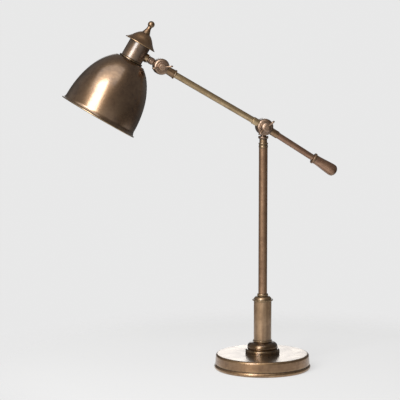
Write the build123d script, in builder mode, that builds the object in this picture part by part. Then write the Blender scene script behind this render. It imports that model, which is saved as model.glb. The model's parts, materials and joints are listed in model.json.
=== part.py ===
"""Swing arm desk lamp in aged brass, in millimetres.

+Z is up and the origin is the middle of the felt's underside, on the table. The column stands on the
origin. The shade hangs towards -X, the handle points towards +X, and the wing nuts face the front, -Y.
The column and the head share the plane Y = 0, and the arm lies in a parallel plane in front of it.
"""

from build123d import *
import os
from math import asin, cos, degrees, radians, sin, sqrt

# Clearances
press_gap = 0.05  # between pieces that are pressed, screwed or clamped together
running_gap = 0.05  # radial, between a shaft and the hole that turns on it
free_gap = 0.5  # between pieces that pass each other without touching

# Rounded edges of the turned rings, as shares of a ring's height
edge_round_share = 0.33
full_round_share = 0.45

# Base: felt, weight and cover
base_height = 30.0
base_foot_radius = 94.4
felt_thickness = 2.0
felt_inset = 0.6
cover_lift = 1.0
cover_wall = 1.5
bead_height = 7.8
bead_depth = 2.0
groove_height = 1.6
groove_depth = 1.2
wall_taper = 1.4
lip_radius = 3.0
weight_height = 18.0
weight_side_gap = 0.6
weight_hub_radius = 36.0

# Cord inlet in the rear of the base
cord_bore_radius = 3.2
bush_wall = 1.4
bush_flange_width = 1.6
bush_flange_thickness = 1.8
bush_length = 8.0
channel_side_gap = 1.5

# Tie rod, nut and washer
rod_radius = 5.0
rod_bore_radius = 3.2
rod_engagement = 16.0
nut_across_corners = 19.6
nut_height = 8.0
nut_washer_radius = 14.0
nut_washer_thickness = 2.0
rod_end_showing = 2.0

# Boss on the base
boss_ring_radius = 33.5
boss_ring_height = 9.5
boss_ring_round = 3.6
cushion_radius = 29.8
cushion_height = 14.5
cushion_foot_radius = 27.6
cushion_widest_height = 4.0
cushion_neck_radius = 19.6

# Column and the sleeve at its foot
column_radius = 8.5
column_wall = 1.2
plug_length = 20.0
sleeve_radius = 17.2
sleeve_wall = 1.6
sleeve_length = 78.0
sleeve_foot_width = 1.6
sleeve_foot_height = 3.2
sleeve_spigot_length = 6.0
sleeve_brim_width = 3.0
sleeve_brim_height = 2.8
sleeve_dome_height = 6.0
sleeve_dome_bulge = 1.5
column_ring_width = 2.1
column_ring_height = 5.0

# Ferrule at the column's top, the bearing of the swivel
ferrule_spigot_length = 12.0
ferrule_band_width = 0.5
ferrule_band_height = 4.0
ferrule_body_height = 3.2
ferrule_ring_width = 0.8
ferrule_ring_height = 2.2
ferrule_waist_radius = 7.6
ferrule_waist_height = 7.2
swivel_washer_thickness = 0.8
spindle_radius = 5.0
wire_bore_radius = 2.6

# Stop screw of the swivel: it rides in a groove round the spindle that is left solid at one place
swing_limit = 150.0
stop_screw_radius = 1.2
stop_groove_depth = 0.95
stop_spare_angle = 1.0

# Knuckles: a rear disc and a front disc, face to face on one screw
pivot_height = 476.4
arm_disc_radius = 16.3
head_disc_radius = 15.5
rear_disc_thickness = 12.0
rear_disc_wall = 3.2
front_disc_wall = 4.4
disc_edge_round = 5.0
chamber_radius = 10.0
friction_washer_thickness = 0.8
friction_washer_inset = 0.8
arm_pressure_washer_radius = 11.2
head_pressure_washer_radius = 8.6
pressure_washer_thickness = 1.2
screw_radius = 3.0
screw_head_radius = 6.2
screw_head_height = 3.4
screw_slot_width = 1.4
screw_slot_depth = 1.6
screw_end_showing = 1.0
post_neck_radius = 5.8
post_ring_radius = 9.8
post_ring_gap = 2.2
post_ring_height = 5.4
post_ring_round = 1.6

# Wing nuts: the hub is a wide dome on the arm's and a straighter boss with a flat face on the head's
arm_hub_base_radius = 10.6
arm_hub_face_radius = 4.4
arm_hub_bulge = 2.2
head_hub_base_radius = 7.6
head_hub_face_radius = 6.2
head_hub_bulge = 0.3
wing_hub_flange_height = 1.2
wing_hub_height = 10.0
wing_reach = 20.2
wing_lobe_radius = 4.6
wing_lobe_height = 9.5
wing_root_radius = 3.0
wing_root_out = 5.2
wing_root_height = 5.2
wing_thickness = 3.2
wing_edge_round = 0.9
arm_wing_angle = 40.0
head_wing_angle = 5.0

# Arm
arm_rise = 30.5
rear_droop = 2.3
arm_length = 233.0
arm_radius = 6.0
arm_wall = 1.0
disc_wall_beside_tube = 1.7
ferrule_wall = 1.1
front_ferrule_reach = 27.0
rear_ferrule_reach = 30.0
ferrule_edge_round = 0.5
head_ferrule_wall = 1.6
head_ferrule_swell = 0.8
head_ferrule_reach = 31.0
head_ferrule_ring_width = 0.8
head_ferrule_ring_length = 3.0

# Handle at the end of the rear arm
handle_start = 117.5
handle_length = 50.0
handle_start_radius = 8.9
handle_widest_radius = 11.4
handle_widest_at = 36.0
handle_shoulder_radius = 10.2
handle_shoulder_at = 45.0
handle_socket_depth = 16.0
handle_collar_radius = 10.8
handle_collar_length = 4.4
handle_collar_round = 1.4

# Stem between the head knuckle and the neck
stem_radius = 7.0
stem_barrel_length = 7.6
stem_groove_radius = 5.7
stem_groove_length = 1.5
stem_ring_width = 0.5
stem_ring_length = 1.6
stem_spigot_radius = 4.8
stem_collar_radius = 8.5
stem_collar_length = 5.4
stem_collar_round = 0.8
stem_nut_across_corners = 13.6
stem_nut_height = 4.5
stem_spigot_spare = 1.0

# Lampholder, neck and cap
shell_radius = 13.5
shell_wall = 0.5
holder_wall = 3.0
holder_floor = 12.0
holder_depth = 30.0
holder_to_nut_gap = 3.0
neck_to_holder_gap = 2.8
neck_wall = 1.5
neck_above_stem = 17.0
neck_below_stem = 15.5
neck_ring_width = 3.0
neck_ring_height = 4.5
cap_height = 23.5
cap_seat_radius = 8.3
cap_shoulder_inset = 0.7
cap_shoulder_height = 11.7
cap_dome_bulge = 1.0
cap_brim_overhang = 10.0
cap_brim_thickness = 1.4
cap_brim_sag = 0.6
cap_roof_thickness = 3.0
holder_rod_radius = 5.0
holder_rod_bore_radius = 3.0
finial_stud_length = 12.0

# Finial
finial_foot_radius = 8.0
finial_waist_radius = 4.3
finial_waist_height = 10.2
finial_bead_radius = 5.7
finial_bead_height = 5.8
finial_ball_radius = 6.6
finial_ball_height = 19.2

# Shade: an elliptical bell with a flared, rolled rim
shade_radius = 73.6
shade_bell_depth = 114.0
shade_ellipse_depth = 124.0
shade_wall = 1.2
flare_radius = 10.0
flare_angle = 54.0
rim_roll_radius = 1.3
shade_ring_width = 8.0
shade_ring_height = 5.0
shade_ring_round = 1.2

# Bulb
bulb_cap_wall = 0.4
bulb_cap_length = 24.0
bulb_cap_gap = 0.35
bulb_glass_radius = 30.0
bulb_glass_wall = 0.8
bulb_length = 105.0
bulb_insulator_height = 3.2
bulb_contact_radius = 4.8
bulb_contact_height = 1.8
contact_radius = 6.0
contact_height = 1.4


# Derived radii and heights of the base
wall_foot_radius = base_foot_radius - bead_depth
wall_top_radius = wall_foot_radius - wall_taper
cover_inner_radius = wall_top_radius - cover_wall
felt_radius = cover_inner_radius - felt_inset
weight_radius = cover_inner_radius - weight_side_gap
cover_underside = base_height - cover_wall
bead_top = cover_lift + bead_height
groove_top = bead_top + groove_height
bush_body_radius = cord_bore_radius + bush_wall
bush_height = (groove_top + base_height - lip_radius) / 2
channel_width = 2 * (bush_body_radius + channel_side_gap)
channel_top = bush_height + bush_body_radius + channel_side_gap
rod_hole_radius = rod_radius + press_gap
nut_pocket_depth = nut_height + nut_washer_thickness + rod_end_showing + free_gap
nut_pocket_top = felt_thickness + nut_pocket_depth
nut_top = nut_pocket_top - nut_washer_thickness
nut_bottom = nut_top - nut_height

# Derived heights of the boss, the sleeve and the column
boss_ring_top = base_height + boss_ring_height
cushion_top = boss_ring_top + cushion_height
sleeve_foot_radius = sleeve_radius + sleeve_foot_width
sleeve_bottom = cushion_top + sleeve_foot_height
sleeve_top = sleeve_bottom + sleeve_length
sleeve_inner_radius = sleeve_radius - sleeve_wall
sleeve_spigot_radius = sleeve_inner_radius - press_gap
sleeve_brim_radius = sleeve_radius + sleeve_brim_width
sleeve_brim_top = sleeve_top + sleeve_brim_height
sleeve_dome_top = sleeve_brim_top + sleeve_dome_height
column_hole_radius = column_radius + press_gap
column_ring_radius = column_radius + column_ring_width
column_inner_radius = column_radius - column_wall
column_foot = cushion_top

# Derived heights of the swivel, downwards from the pivot
post_ring_top = pivot_height - arm_disc_radius - post_ring_gap
post_ring_bottom = post_ring_top - post_ring_height
ferrule_top = post_ring_bottom - swivel_washer_thickness
ferrule_waist_bottom = ferrule_top - ferrule_waist_height
ferrule_ring_bottom = ferrule_waist_bottom - ferrule_ring_height
ferrule_body_bottom = ferrule_ring_bottom - ferrule_body_height
column_top = ferrule_body_bottom - ferrule_band_height
ferrule_bottom = column_top - ferrule_spigot_length
spindle_bore_radius = spindle_radius + running_gap
ferrule_band_radius = column_radius + ferrule_band_width
stop_screw_height = column_top + ferrule_band_height / 2
stop_groove_radius = spindle_radius - stop_groove_depth
stop_screw_tip = stop_groove_radius + running_gap
stop_screw_angle = degrees(asin(stop_screw_radius / stop_screw_tip))
stop_land_angle = 180 - swing_limit - stop_screw_angle - stop_spare_angle

# Depths of the knuckles' layers, forwards from the column's plane
rear_disc_back = -rear_disc_thickness / 2
rear_disc_front = rear_disc_thickness / 2
rear_chamber_floor = rear_disc_back + rear_disc_wall
front_disc_back = rear_disc_front + friction_washer_thickness
front_disc_thickness = 2 * (arm_radius + disc_wall_beside_tube)
arm_offset = front_disc_back + front_disc_thickness / 2
front_disc_front = front_disc_back + front_disc_thickness
front_chamber_ceiling = front_disc_front - front_disc_wall
wing_nut_back = front_disc_front + pressure_washer_thickness
wing_nut_front = wing_nut_back + wing_hub_height
screw_hole_radius = screw_radius + running_gap

# Stations along the stem, outwards from the head pivot
stem_barrel_start = head_disc_radius + free_gap
stem_barrel_end = stem_barrel_start + stem_barrel_length
stem_ring_start = stem_barrel_end + stem_groove_length
stem_ring_end = stem_ring_start + stem_ring_length
stem_collar_start = stem_ring_end + stem_groove_length
stem_collar_end = stem_collar_start + stem_collar_length
holder_bore_radius = shell_radius + shell_wall + press_gap
holder_radius = holder_bore_radius + holder_wall
neck_inner_radius = holder_radius + neck_to_holder_gap
neck_radius = neck_inner_radius + neck_wall
head_reach = stem_collar_end + neck_radius
stem_nut_radius = stem_nut_across_corners / 2
stem_nut_start = head_reach - neck_inner_radius
stem_spigot_end = stem_nut_start + stem_nut_height + stem_spigot_spare
stem_hole_radius = stem_spigot_radius + press_gap

# Places along the head's axis, from the stem's axis down towards the shade's mouth
cap_bottom = -neck_above_stem
cap_top = cap_bottom - cap_height
cap_ceiling = cap_top + cap_roof_thickness
neck_ring_radius = neck_radius + neck_ring_width
shade_top = neck_below_stem + neck_ring_height
shade_underside = shade_top + shade_wall
bell_end = shade_top + shade_bell_depth
holder_top = stem_nut_radius + holder_to_nut_gap
holder_seat = holder_top + holder_floor
holder_mouth = holder_seat + holder_depth
holder_hole_radius = holder_radius + press_gap
holder_rod_end = holder_top + holder_floor / 2
shade_ring_radius = holder_radius + shade_ring_width
contact_top = holder_seat
contact_end = contact_top + contact_height
bulb_tip = contact_end
bulb_insulator_start = bulb_tip + bulb_contact_height
bulb_cap_start = bulb_insulator_start + bulb_insulator_height
bulb_cap_end = bulb_cap_start + bulb_cap_length
bulb_cap_radius = shell_radius - bulb_cap_gap
bulb_neck_radius = bulb_cap_radius - bulb_cap_wall - press_gap
bulb_end = bulb_tip + bulb_length

# Planes and axes
arm_direction = Vector(-cos(radians(arm_rise)), 0, sin(radians(arm_rise)))
rear_direction = Vector(cos(radians(arm_rise + rear_droop)), 0, -sin(radians(arm_rise + rear_droop)))
front = Vector(0, -1, 0)
arm_pivot = Vector(0, 0, pivot_height)
head_pivot = arm_pivot + arm_direction * arm_length
neck_centre = head_pivot + arm_direction * head_reach

# In these the sketch's X is the turned piece's axis, and its Y the radius
arm_plane = Plane(arm_pivot + front * arm_offset, x_dir=arm_direction, z_dir=front)
rear_plane = Plane(arm_pivot + front * arm_offset, x_dir=rear_direction, z_dir=front)
stem_plane = Plane(head_pivot, x_dir=arm_direction, z_dir=front)
arm_axis = Axis(arm_plane.origin, arm_plane.x_dir)
rear_axis = Axis(rear_plane.origin, rear_plane.x_dir)
stem_axis = Axis(stem_plane.origin, stem_plane.x_dir)

# In these the sketch's Y is the axis, and its X the radius: forwards at the knuckles, down in the head
arm_knuckle_plane = Plane(arm_pivot, x_dir=(-1, 0, 0), z_dir=(0, 0, 1))
head_knuckle_plane = Plane(head_pivot, x_dir=(-1, 0, 0), z_dir=(0, 0, 1))
head_plane = Plane(neck_centre, x_dir=arm_direction, z_dir=front)
arm_knuckle_axis = Axis(arm_pivot, front)
head_knuckle_axis = Axis(head_pivot, front)
head_axis = Axis(neck_centre, head_plane.y_dir)


def rectangle_between(x0, x1, y0, y1, mode=Mode.ADD):
    """A rectangle in the open sketch, from its two limits across and its two limits up."""
    with Locations(((x0 + x1) / 2, (y0 + y1) / 2)):
        Rectangle(x1 - x0, y1 - y0, mode=mode)


# Felt pad
with BuildPart() as felt_pad:
    with BuildSketch():
        Circle(felt_radius)
    extrude(amount=felt_thickness)

# Cast-iron weight: a disc with a hub that holds up the cover, a nut pocket below and a cord channel
with BuildPart() as base_weight:
    with BuildSketch(Plane.XZ):
        rectangle_between(rod_hole_radius, weight_radius, felt_thickness, felt_thickness + weight_height)
        rectangle_between(rod_hole_radius, weight_hub_radius, felt_thickness, cover_underside)
    revolve(axis=Axis.Z)
    with BuildSketch(Plane.XY.offset(felt_thickness)):
        Circle(nut_washer_radius + free_gap)
    extrude(amount=nut_pocket_depth, mode=Mode.SUBTRACT)
    with BuildSketch(Plane.XY.offset(felt_thickness)):
        rectangle_between(-channel_width / 2, channel_width / 2, 0, base_foot_radius)
    extrude(amount=min(channel_top, cover_underside) - felt_thickness, mode=Mode.SUBTRACT)

# Spun cover of the base: flat top, rounded lip, leaning wall, groove and bead
with BuildPart() as base_cover:
    with BuildSketch(Plane.XZ):
        with BuildLine():
            Polyline(
                (cover_inner_radius, cover_lift),
                (cover_inner_radius, cover_underside),
                (rod_hole_radius, cover_underside),
                (rod_hole_radius, base_height),
                (wall_top_radius - lip_radius, base_height),
            )
            CenterArc((wall_top_radius - lip_radius, base_height - lip_radius), lip_radius, 0, 90)
            Polyline(
                (wall_top_radius, base_height - lip_radius),
                (wall_foot_radius, groove_top),
                (wall_foot_radius - groove_depth, groove_top),
                (wall_foot_radius - groove_depth, bead_top),
                (wall_foot_radius, bead_top),
            )
            ThreePointArc(
                (wall_foot_radius, bead_top),
                (base_foot_radius, cover_lift + bead_height / 2),
                (wall_foot_radius, cover_lift),
            )
            Line((wall_foot_radius, cover_lift), (cover_inner_radius, cover_lift))
        make_face()
    revolve(axis=Axis.Z)
    with BuildSketch(Plane((0, 0, bush_height), x_dir=(1, 0, 0), z_dir=(0, 1, 0))):
        Circle(bush_body_radius + press_gap)
    extrude(amount=base_foot_radius, mode=Mode.SUBTRACT)

# Bush that lines the cord's hole in the rear of the cover
bush_plane = Plane((0, wall_foot_radius, bush_height), x_dir=(0, 1, 0), z_dir=(1, 0, 0))
with BuildPart() as cord_inlet_bush:
    with BuildSketch(bush_plane):
        rectangle_between(-bush_length, bush_flange_thickness, cord_bore_radius, bush_body_radius)
        rectangle_between(0, bush_flange_thickness, cord_bore_radius, bush_body_radius + bush_flange_width)
    revolve(axis=Axis(bush_plane.origin, bush_plane.x_dir))

# Hollow tie rod that clamps the base, the boss and the column together
with BuildPart() as tie_rod:
    with BuildSketch(Plane.XZ):
        rectangle_between(
            rod_bore_radius, rod_radius, nut_bottom - rod_end_showing, column_foot + rod_engagement
        )
    revolve(axis=Axis.Z)

with BuildPart() as tie_rod_washer:
    with BuildSketch(Plane.XY.offset(nut_top)):
        Circle(nut_washer_radius)
        Circle(rod_hole_radius, mode=Mode.SUBTRACT)
    extrude(amount=nut_washer_thickness)

with BuildPart() as tie_rod_nut:
    with BuildSketch(Plane.XY.offset(nut_bottom)):
        RegularPolygon(nut_across_corners / 2, 6)
        Circle(rod_hole_radius, mode=Mode.SUBTRACT)
    extrude(amount=nut_height)

# Low ring of the boss, with a full round shoulder
with BuildPart() as boss_ring:
    with BuildSketch(Plane.XZ) as profile:
        rectangle_between(rod_hole_radius, boss_ring_radius, base_height, boss_ring_top)
        fillet(profile.vertices().group_by(Axis.X)[-1].sort_by(Axis.Y)[-1], boss_ring_round)
    revolve(axis=Axis.Z)

# Fat cushion ring of the boss
with BuildPart() as boss_cushion:
    with BuildSketch(Plane.XZ):
        with BuildLine():
            Line((rod_hole_radius, boss_ring_top), (cushion_foot_radius, boss_ring_top))
            TangentArc(
                (cushion_radius, boss_ring_top + cushion_widest_height),
                (cushion_foot_radius, boss_ring_top),
                tangent=(0, -1),
            )
            EllipticalCenterArc(
                (cushion_neck_radius, boss_ring_top + cushion_widest_height),
                cushion_radius - cushion_neck_radius,
                cushion_height - cushion_widest_height,
                arc_size=90,
            )
            Polyline(
                (cushion_neck_radius, cushion_top),
                (rod_hole_radius, cushion_top),
                (rod_hole_radius, boss_ring_top),
            )
        make_face()
    revolve(axis=Axis.Z)

# Sleeve round the foot of the column, between its foot ring and its cap
with BuildPart() as sleeve_foot_ring:
    with BuildSketch(Plane.XZ) as profile:
        rectangle_between(column_hole_radius, sleeve_foot_radius, cushion_top, sleeve_bottom)
        fillet(profile.vertices().group_by(Axis.X)[-1], sleeve_foot_height * edge_round_share)
        rectangle_between(
            column_hole_radius, sleeve_spigot_radius, cushion_top, sleeve_bottom + sleeve_spigot_length
        )
    revolve(axis=Axis.Z)

with BuildPart() as sleeve_tube:
    with BuildSketch(Plane.XZ):
        rectangle_between(sleeve_inner_radius, sleeve_radius, sleeve_bottom, sleeve_top)
    revolve(axis=Axis.Z)

with BuildPart() as sleeve_cap:
    with BuildSketch(Plane.XZ) as profile:
        rectangle_between(column_hole_radius, sleeve_brim_radius, sleeve_top, sleeve_brim_top)
        fillet(profile.vertices().group_by(Axis.X)[-1], sleeve_brim_height * edge_round_share)
        rectangle_between(
            column_hole_radius, sleeve_spigot_radius, sleeve_top - sleeve_spigot_length, sleeve_top
        )
        with BuildLine():
            SagittaArc(
                (sleeve_radius, sleeve_brim_top), (column_ring_radius, sleeve_dome_top), -sleeve_dome_bulge
            )
            Polyline(
                (column_ring_radius, sleeve_dome_top),
                (column_hole_radius, sleeve_dome_top),
                (column_hole_radius, sleeve_brim_top),
                (sleeve_radius, sleeve_brim_top),
            )
        make_face()
    revolve(axis=Axis.Z)

with BuildPart() as column_ring:
    with BuildSketch(Plane.XZ) as profile:
        rectangle_between(
            column_hole_radius, column_ring_radius, sleeve_dome_top, sleeve_dome_top + column_ring_height
        )
        fillet(profile.vertices().group_by(Axis.X)[-1], column_ring_width / 2)
    revolve(axis=Axis.Z)

# Column tube and the threaded plug in its foot
with BuildPart() as column_tube:
    with BuildSketch(Plane.XZ):
        rectangle_between(column_inner_radius, column_radius, column_foot, column_top)
    revolve(axis=Axis.Z)

with BuildPart() as column_plug:
    with BuildSketch(Plane.XZ):
        rectangle_between(
            rod_hole_radius, column_inner_radius - press_gap, column_foot, column_foot + plug_length
        )
    revolve(axis=Axis.Z)

# Ferrule on the column's top: spigot in the tube, band, body, ring and waist, bored for the spindle
stop_screw_plane = Plane((0, 0, stop_screw_height), x_dir=(1, 0, 0), z_dir=(0, 1, 0))
with BuildPart() as column_ferrule:
    with BuildSketch(Plane.XZ):
        rectangle_between(
            spindle_bore_radius, column_inner_radius - press_gap, ferrule_bottom, column_top
        )
        rectangle_between(spindle_bore_radius, ferrule_band_radius, column_top, ferrule_body_bottom)
        rectangle_between(spindle_bore_radius, column_radius, ferrule_body_bottom, ferrule_ring_bottom)
        rectangle_between(
            spindle_bore_radius,
            column_radius + ferrule_ring_width,
            ferrule_ring_bottom,
            ferrule_waist_bottom,
        )
        rectangle_between(spindle_bore_radius, ferrule_waist_radius, ferrule_waist_bottom, ferrule_top)
    revolve(axis=Axis.Z)
    with BuildSketch(stop_screw_plane):
        Circle(stop_screw_radius + press_gap)
    extrude(amount=ferrule_band_radius, mode=Mode.SUBTRACT)

with BuildPart() as swivel_stop_screw:
    with BuildSketch(stop_screw_plane.offset(stop_screw_tip)):
        Circle(stop_screw_radius)
    extrude(amount=ferrule_band_radius - stop_screw_tip - press_gap)

with BuildPart() as swivel_washer:
    with BuildSketch(Plane.XY.offset(ferrule_top)):
        Circle(ferrule_waist_radius)
        Circle(spindle_bore_radius, mode=Mode.SUBTRACT)
    extrude(amount=swivel_washer_thickness)


def rear_disc_section(profile, disc_radius):
    """Half section of a knuckle's rear disc in the open sketch, with its wire chamber and screw hole."""
    rectangle_between(screw_hole_radius, disc_radius, rear_disc_back, rear_disc_front)
    fillet(profile.vertices().group_by(Axis.X)[-1].sort_by(Axis.Y)[0], disc_edge_round)
    rectangle_between(
        screw_hole_radius, chamber_radius, rear_chamber_floor, rear_disc_front, mode=Mode.SUBTRACT
    )


def front_disc_outline(profile, disc_radius, grow=0.0):
    """Half section of a solid front disc in the open sketch, made larger all round by grow."""
    rectangle_between(0, disc_radius + grow, front_disc_back - grow, front_disc_front + grow)
    fillet(profile.vertices().group_by(Axis.X)[-1].sort_by(Axis.Y)[-1], disc_edge_round + grow)


def front_disc_section(profile, disc_radius):
    """Half section of a knuckle's front disc in the open sketch, with its wire chamber and screw hole."""
    front_disc_outline(profile, disc_radius)
    rectangle_between(0, chamber_radius, front_disc_back, front_chamber_ceiling, mode=Mode.SUBTRACT)
    rectangle_between(0, screw_hole_radius, front_disc_back, front_disc_front, mode=Mode.SUBTRACT)


# Post of the arm knuckle: rear disc, ring and the spindle that turns in the ferrule
land_start = radians(stop_land_angle - 90)
groove_plane = Plane(
    (0, 0, stop_screw_height),
    x_dir=(cos(land_start), sin(land_start), 0),
    z_dir=(sin(land_start), -cos(land_start), 0),
)
with BuildPart() as knuckle_post:
    with BuildSketch(arm_knuckle_plane) as profile:
        rear_disc_section(profile, arm_disc_radius)
    revolve(axis=arm_knuckle_axis)
    with BuildSketch(Plane.XZ) as profile:
        rectangle_between(0, post_ring_radius, post_ring_bottom, post_ring_top)
        fillet(profile.vertices().group_by(Axis.X)[-1], post_ring_round)
        rectangle_between(0, post_neck_radius, post_ring_bottom, pivot_height - chamber_radius - free_gap)
        rectangle_between(0, spindle_radius, ferrule_bottom + free_gap, post_ring_bottom)
    revolve(axis=Axis.Z)
    with BuildSketch(groove_plane):
        rectangle_between(
            stop_groove_radius,
            spindle_radius + free_gap,
            -stop_screw_radius - running_gap,
            stop_screw_radius + running_gap,
        )
    revolve(axis=Axis.Z, revolution_arc=360 - 2 * stop_land_angle, mode=Mode.SUBTRACT)
    with BuildSketch(Plane.XY.offset(ferrule_bottom)):
        Circle(wire_bore_radius)
    extrude(amount=pivot_height - chamber_radius / 2 - ferrule_bottom, mode=Mode.SUBTRACT)


def pivot_screw(plane, axis):
    """Slotted round-headed screw of a knuckle, its head behind the rear disc."""
    with BuildPart() as screw:
        with BuildSketch(plane):
            rectangle_between(0, screw_radius, rear_disc_back, wing_nut_front + screw_end_showing)
            with BuildLine():
                Polyline(
                    (0, rear_disc_back - screw_head_height),
                    (0, rear_disc_back),
                    (screw_head_radius, rear_disc_back),
                )
                EllipticalCenterArc(
                    (0, rear_disc_back), screw_head_radius, screw_head_height, 270, arc_size=90
                )
            make_face()
        revolve(axis=axis)
        slot_plane = Plane(
            axis.position - front * (screw_head_height - rear_disc_back), x_dir=(1, 0, 0), z_dir=front
        )
        with BuildSketch(slot_plane):
            Rectangle(screw_slot_width, 2 * screw_head_radius)
        extrude(amount=screw_slot_depth, mode=Mode.SUBTRACT)
    return screw


def washer(plane, axis, inner_radius, outer_radius, back, thickness):
    """Flat washer on a knuckle's screw."""
    with BuildPart() as ring:
        with BuildSketch(plane):
            rectangle_between(inner_radius, outer_radius, back, back + thickness)
        revolve(axis=axis)
    return ring


def wing_nut(plane, axis, angle, hub_base_radius, hub_face_radius, hub_bulge):
    """Wing nut on a knuckle's screw: a bulging hub and two rounded wings, turned by angle from +X."""
    with BuildPart() as nut:
        for wing_turn in (angle, angle + 180):
            out = Vector(cos(radians(wing_turn)), 0, sin(radians(wing_turn)))
            with BuildSketch(Plane(axis.position, x_dir=out, z_dir=out.cross(front))):
                with Locations((wing_root_out, wing_nut_back + wing_root_height)):
                    Circle(wing_root_radius)
                with Locations((wing_reach - wing_lobe_radius, wing_nut_back + wing_lobe_height)):
                    Circle(wing_lobe_radius)
                make_hull()
            extrude(amount=wing_thickness / 2, both=True)
        flat_sides = nut.faces().filter_by(Axis((0, 0, 0), out.cross(front)))
        fillet(flat_sides.edges(), wing_edge_round)
        with BuildSketch(plane):
            with BuildLine():
                hub_side = Polyline(
                    (hub_face_radius, wing_nut_front),
                    (0, wing_nut_front),
                    (0, wing_nut_back),
                    (hub_base_radius, wing_nut_back),
                    (hub_base_radius, wing_nut_back + wing_hub_flange_height),
                )
                SagittaArc(hub_side @ 1, hub_side @ 0, -hub_bulge)
            make_face()
        revolve(axis=axis)
        with BuildSketch(plane):
            rectangle_between(0, screw_hole_radius, 0, wing_nut_front + wing_reach)
        revolve(axis=axis, mode=Mode.SUBTRACT)
    return nut


# What both knuckles have: screw, friction washer, pressure washer and wing nut
arm_pivot_screw = pivot_screw(arm_knuckle_plane, arm_knuckle_axis)
head_pivot_screw = pivot_screw(head_knuckle_plane, head_knuckle_axis)
arm_friction_washer = washer(
    arm_knuckle_plane,
    arm_knuckle_axis,
    chamber_radius,
    arm_disc_radius - friction_washer_inset,
    rear_disc_front,
    friction_washer_thickness,
)
head_friction_washer = washer(
    head_knuckle_plane,
    head_knuckle_axis,
    chamber_radius,
    head_disc_radius - friction_washer_inset,
    rear_disc_front,
    friction_washer_thickness,
)
arm_pressure_washer = washer(
    arm_knuckle_plane,
    arm_knuckle_axis,
    screw_hole_radius,
    arm_pressure_washer_radius,
    front_disc_front,
    pressure_washer_thickness,
)
head_pressure_washer = washer(
    head_knuckle_plane,
    head_knuckle_axis,
    screw_hole_radius,
    head_pressure_washer_radius,
    front_disc_front,
    pressure_washer_thickness,
)
arm_wing_nut = wing_nut(
    arm_knuckle_plane,
    arm_knuckle_axis,
    arm_wing_angle,
    arm_hub_base_radius,
    arm_hub_face_radius,
    arm_hub_bulge,
)
head_wing_nut = wing_nut(
    head_knuckle_plane,
    head_knuckle_axis,
    head_wing_angle,
    head_hub_base_radius,
    head_hub_face_radius,
    head_hub_bulge,
)

# Front disc of the arm knuckle, with a socket for each arm tube
socket_radius = arm_radius + press_gap
tube_start = chamber_radius + free_gap
with BuildPart() as arm_knuckle:
    with BuildSketch(arm_knuckle_plane) as profile:
        front_disc_section(profile, arm_disc_radius)
    revolve(axis=arm_knuckle_axis)
    for plane, axis in ((arm_plane, arm_axis), (rear_plane, rear_axis)):
        with BuildSketch(plane):
            rectangle_between(chamber_radius - free_gap, 2 * arm_disc_radius, 0, socket_radius)
        revolve(axis=axis, mode=Mode.SUBTRACT)

# Arm tubes
with BuildPart() as front_arm_tube:
    with BuildSketch(arm_plane):
        rectangle_between(tube_start, arm_length - tube_start, arm_radius - arm_wall, arm_radius)
    revolve(axis=arm_axis)

with BuildPart() as rear_arm_tube:
    with BuildSketch(rear_plane):
        rectangle_between(
            tube_start, handle_start + handle_socket_depth, arm_radius - arm_wall, arm_radius
        )
    revolve(axis=rear_axis)

# Ferrules over the tubes, each saddled to the rim of its disc
with BuildPart() as front_ferrule:
    with BuildSketch(arm_plane) as profile:
        rectangle_between(0, front_ferrule_reach, socket_radius, socket_radius + ferrule_wall)
        fillet(profile.vertices().group_by(Axis.X)[-1].sort_by(Axis.Y)[-1], ferrule_edge_round)
    revolve(axis=arm_axis)
    with BuildSketch(arm_knuckle_plane) as profile:
        front_disc_outline(profile, arm_disc_radius, press_gap)
    revolve(axis=arm_knuckle_axis, mode=Mode.SUBTRACT)

with BuildPart() as rear_ferrule:
    with BuildSketch(rear_plane) as profile:
        rectangle_between(0, rear_ferrule_reach, socket_radius, socket_radius + ferrule_wall)
        fillet(profile.vertices().group_by(Axis.X)[-1].sort_by(Axis.Y)[-1], ferrule_edge_round)
    revolve(axis=rear_axis)
    with BuildSketch(arm_knuckle_plane) as profile:
        front_disc_outline(profile, arm_disc_radius, press_gap)
    revolve(axis=arm_knuckle_axis, mode=Mode.SUBTRACT)

head_ferrule_radius = socket_radius + head_ferrule_wall
head_ferrule_end = arm_length - head_ferrule_reach
with BuildPart() as head_ferrule:
    with BuildSketch(arm_plane):
        with BuildLine():
            Polyline(
                (arm_length, socket_radius),
                (head_ferrule_end, socket_radius),
                (head_ferrule_end, head_ferrule_radius + head_ferrule_swell),
                (arm_length - head_disc_radius, head_ferrule_radius),
                (arm_length, head_ferrule_radius),
                close=True,
            )
        make_face()
    with BuildSketch(arm_plane) as profile:
        rectangle_between(
            head_ferrule_end,
            head_ferrule_end + head_ferrule_ring_length,
            socket_radius,
            head_ferrule_radius + head_ferrule_swell + head_ferrule_ring_width,
        )
        fillet(profile.vertices().group_by(Axis.Y)[-1], head_ferrule_ring_length * edge_round_share)
    revolve(axis=arm_axis)
    with BuildSketch(head_knuckle_plane) as profile:
        front_disc_outline(profile, head_disc_radius, press_gap)
    revolve(axis=head_knuckle_axis, mode=Mode.SUBTRACT)

# Front disc of the head knuckle, on the end of the front arm
with BuildPart() as head_knuckle_front:
    with BuildSketch(head_knuckle_plane) as profile:
        front_disc_section(profile, head_disc_radius)
    revolve(axis=head_knuckle_axis)
    with BuildSketch(arm_plane):
        rectangle_between(
            arm_length - 2 * head_disc_radius, arm_length - chamber_radius + free_gap, 0, socket_radius
        )
    revolve(axis=arm_axis, mode=Mode.SUBTRACT)

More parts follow.
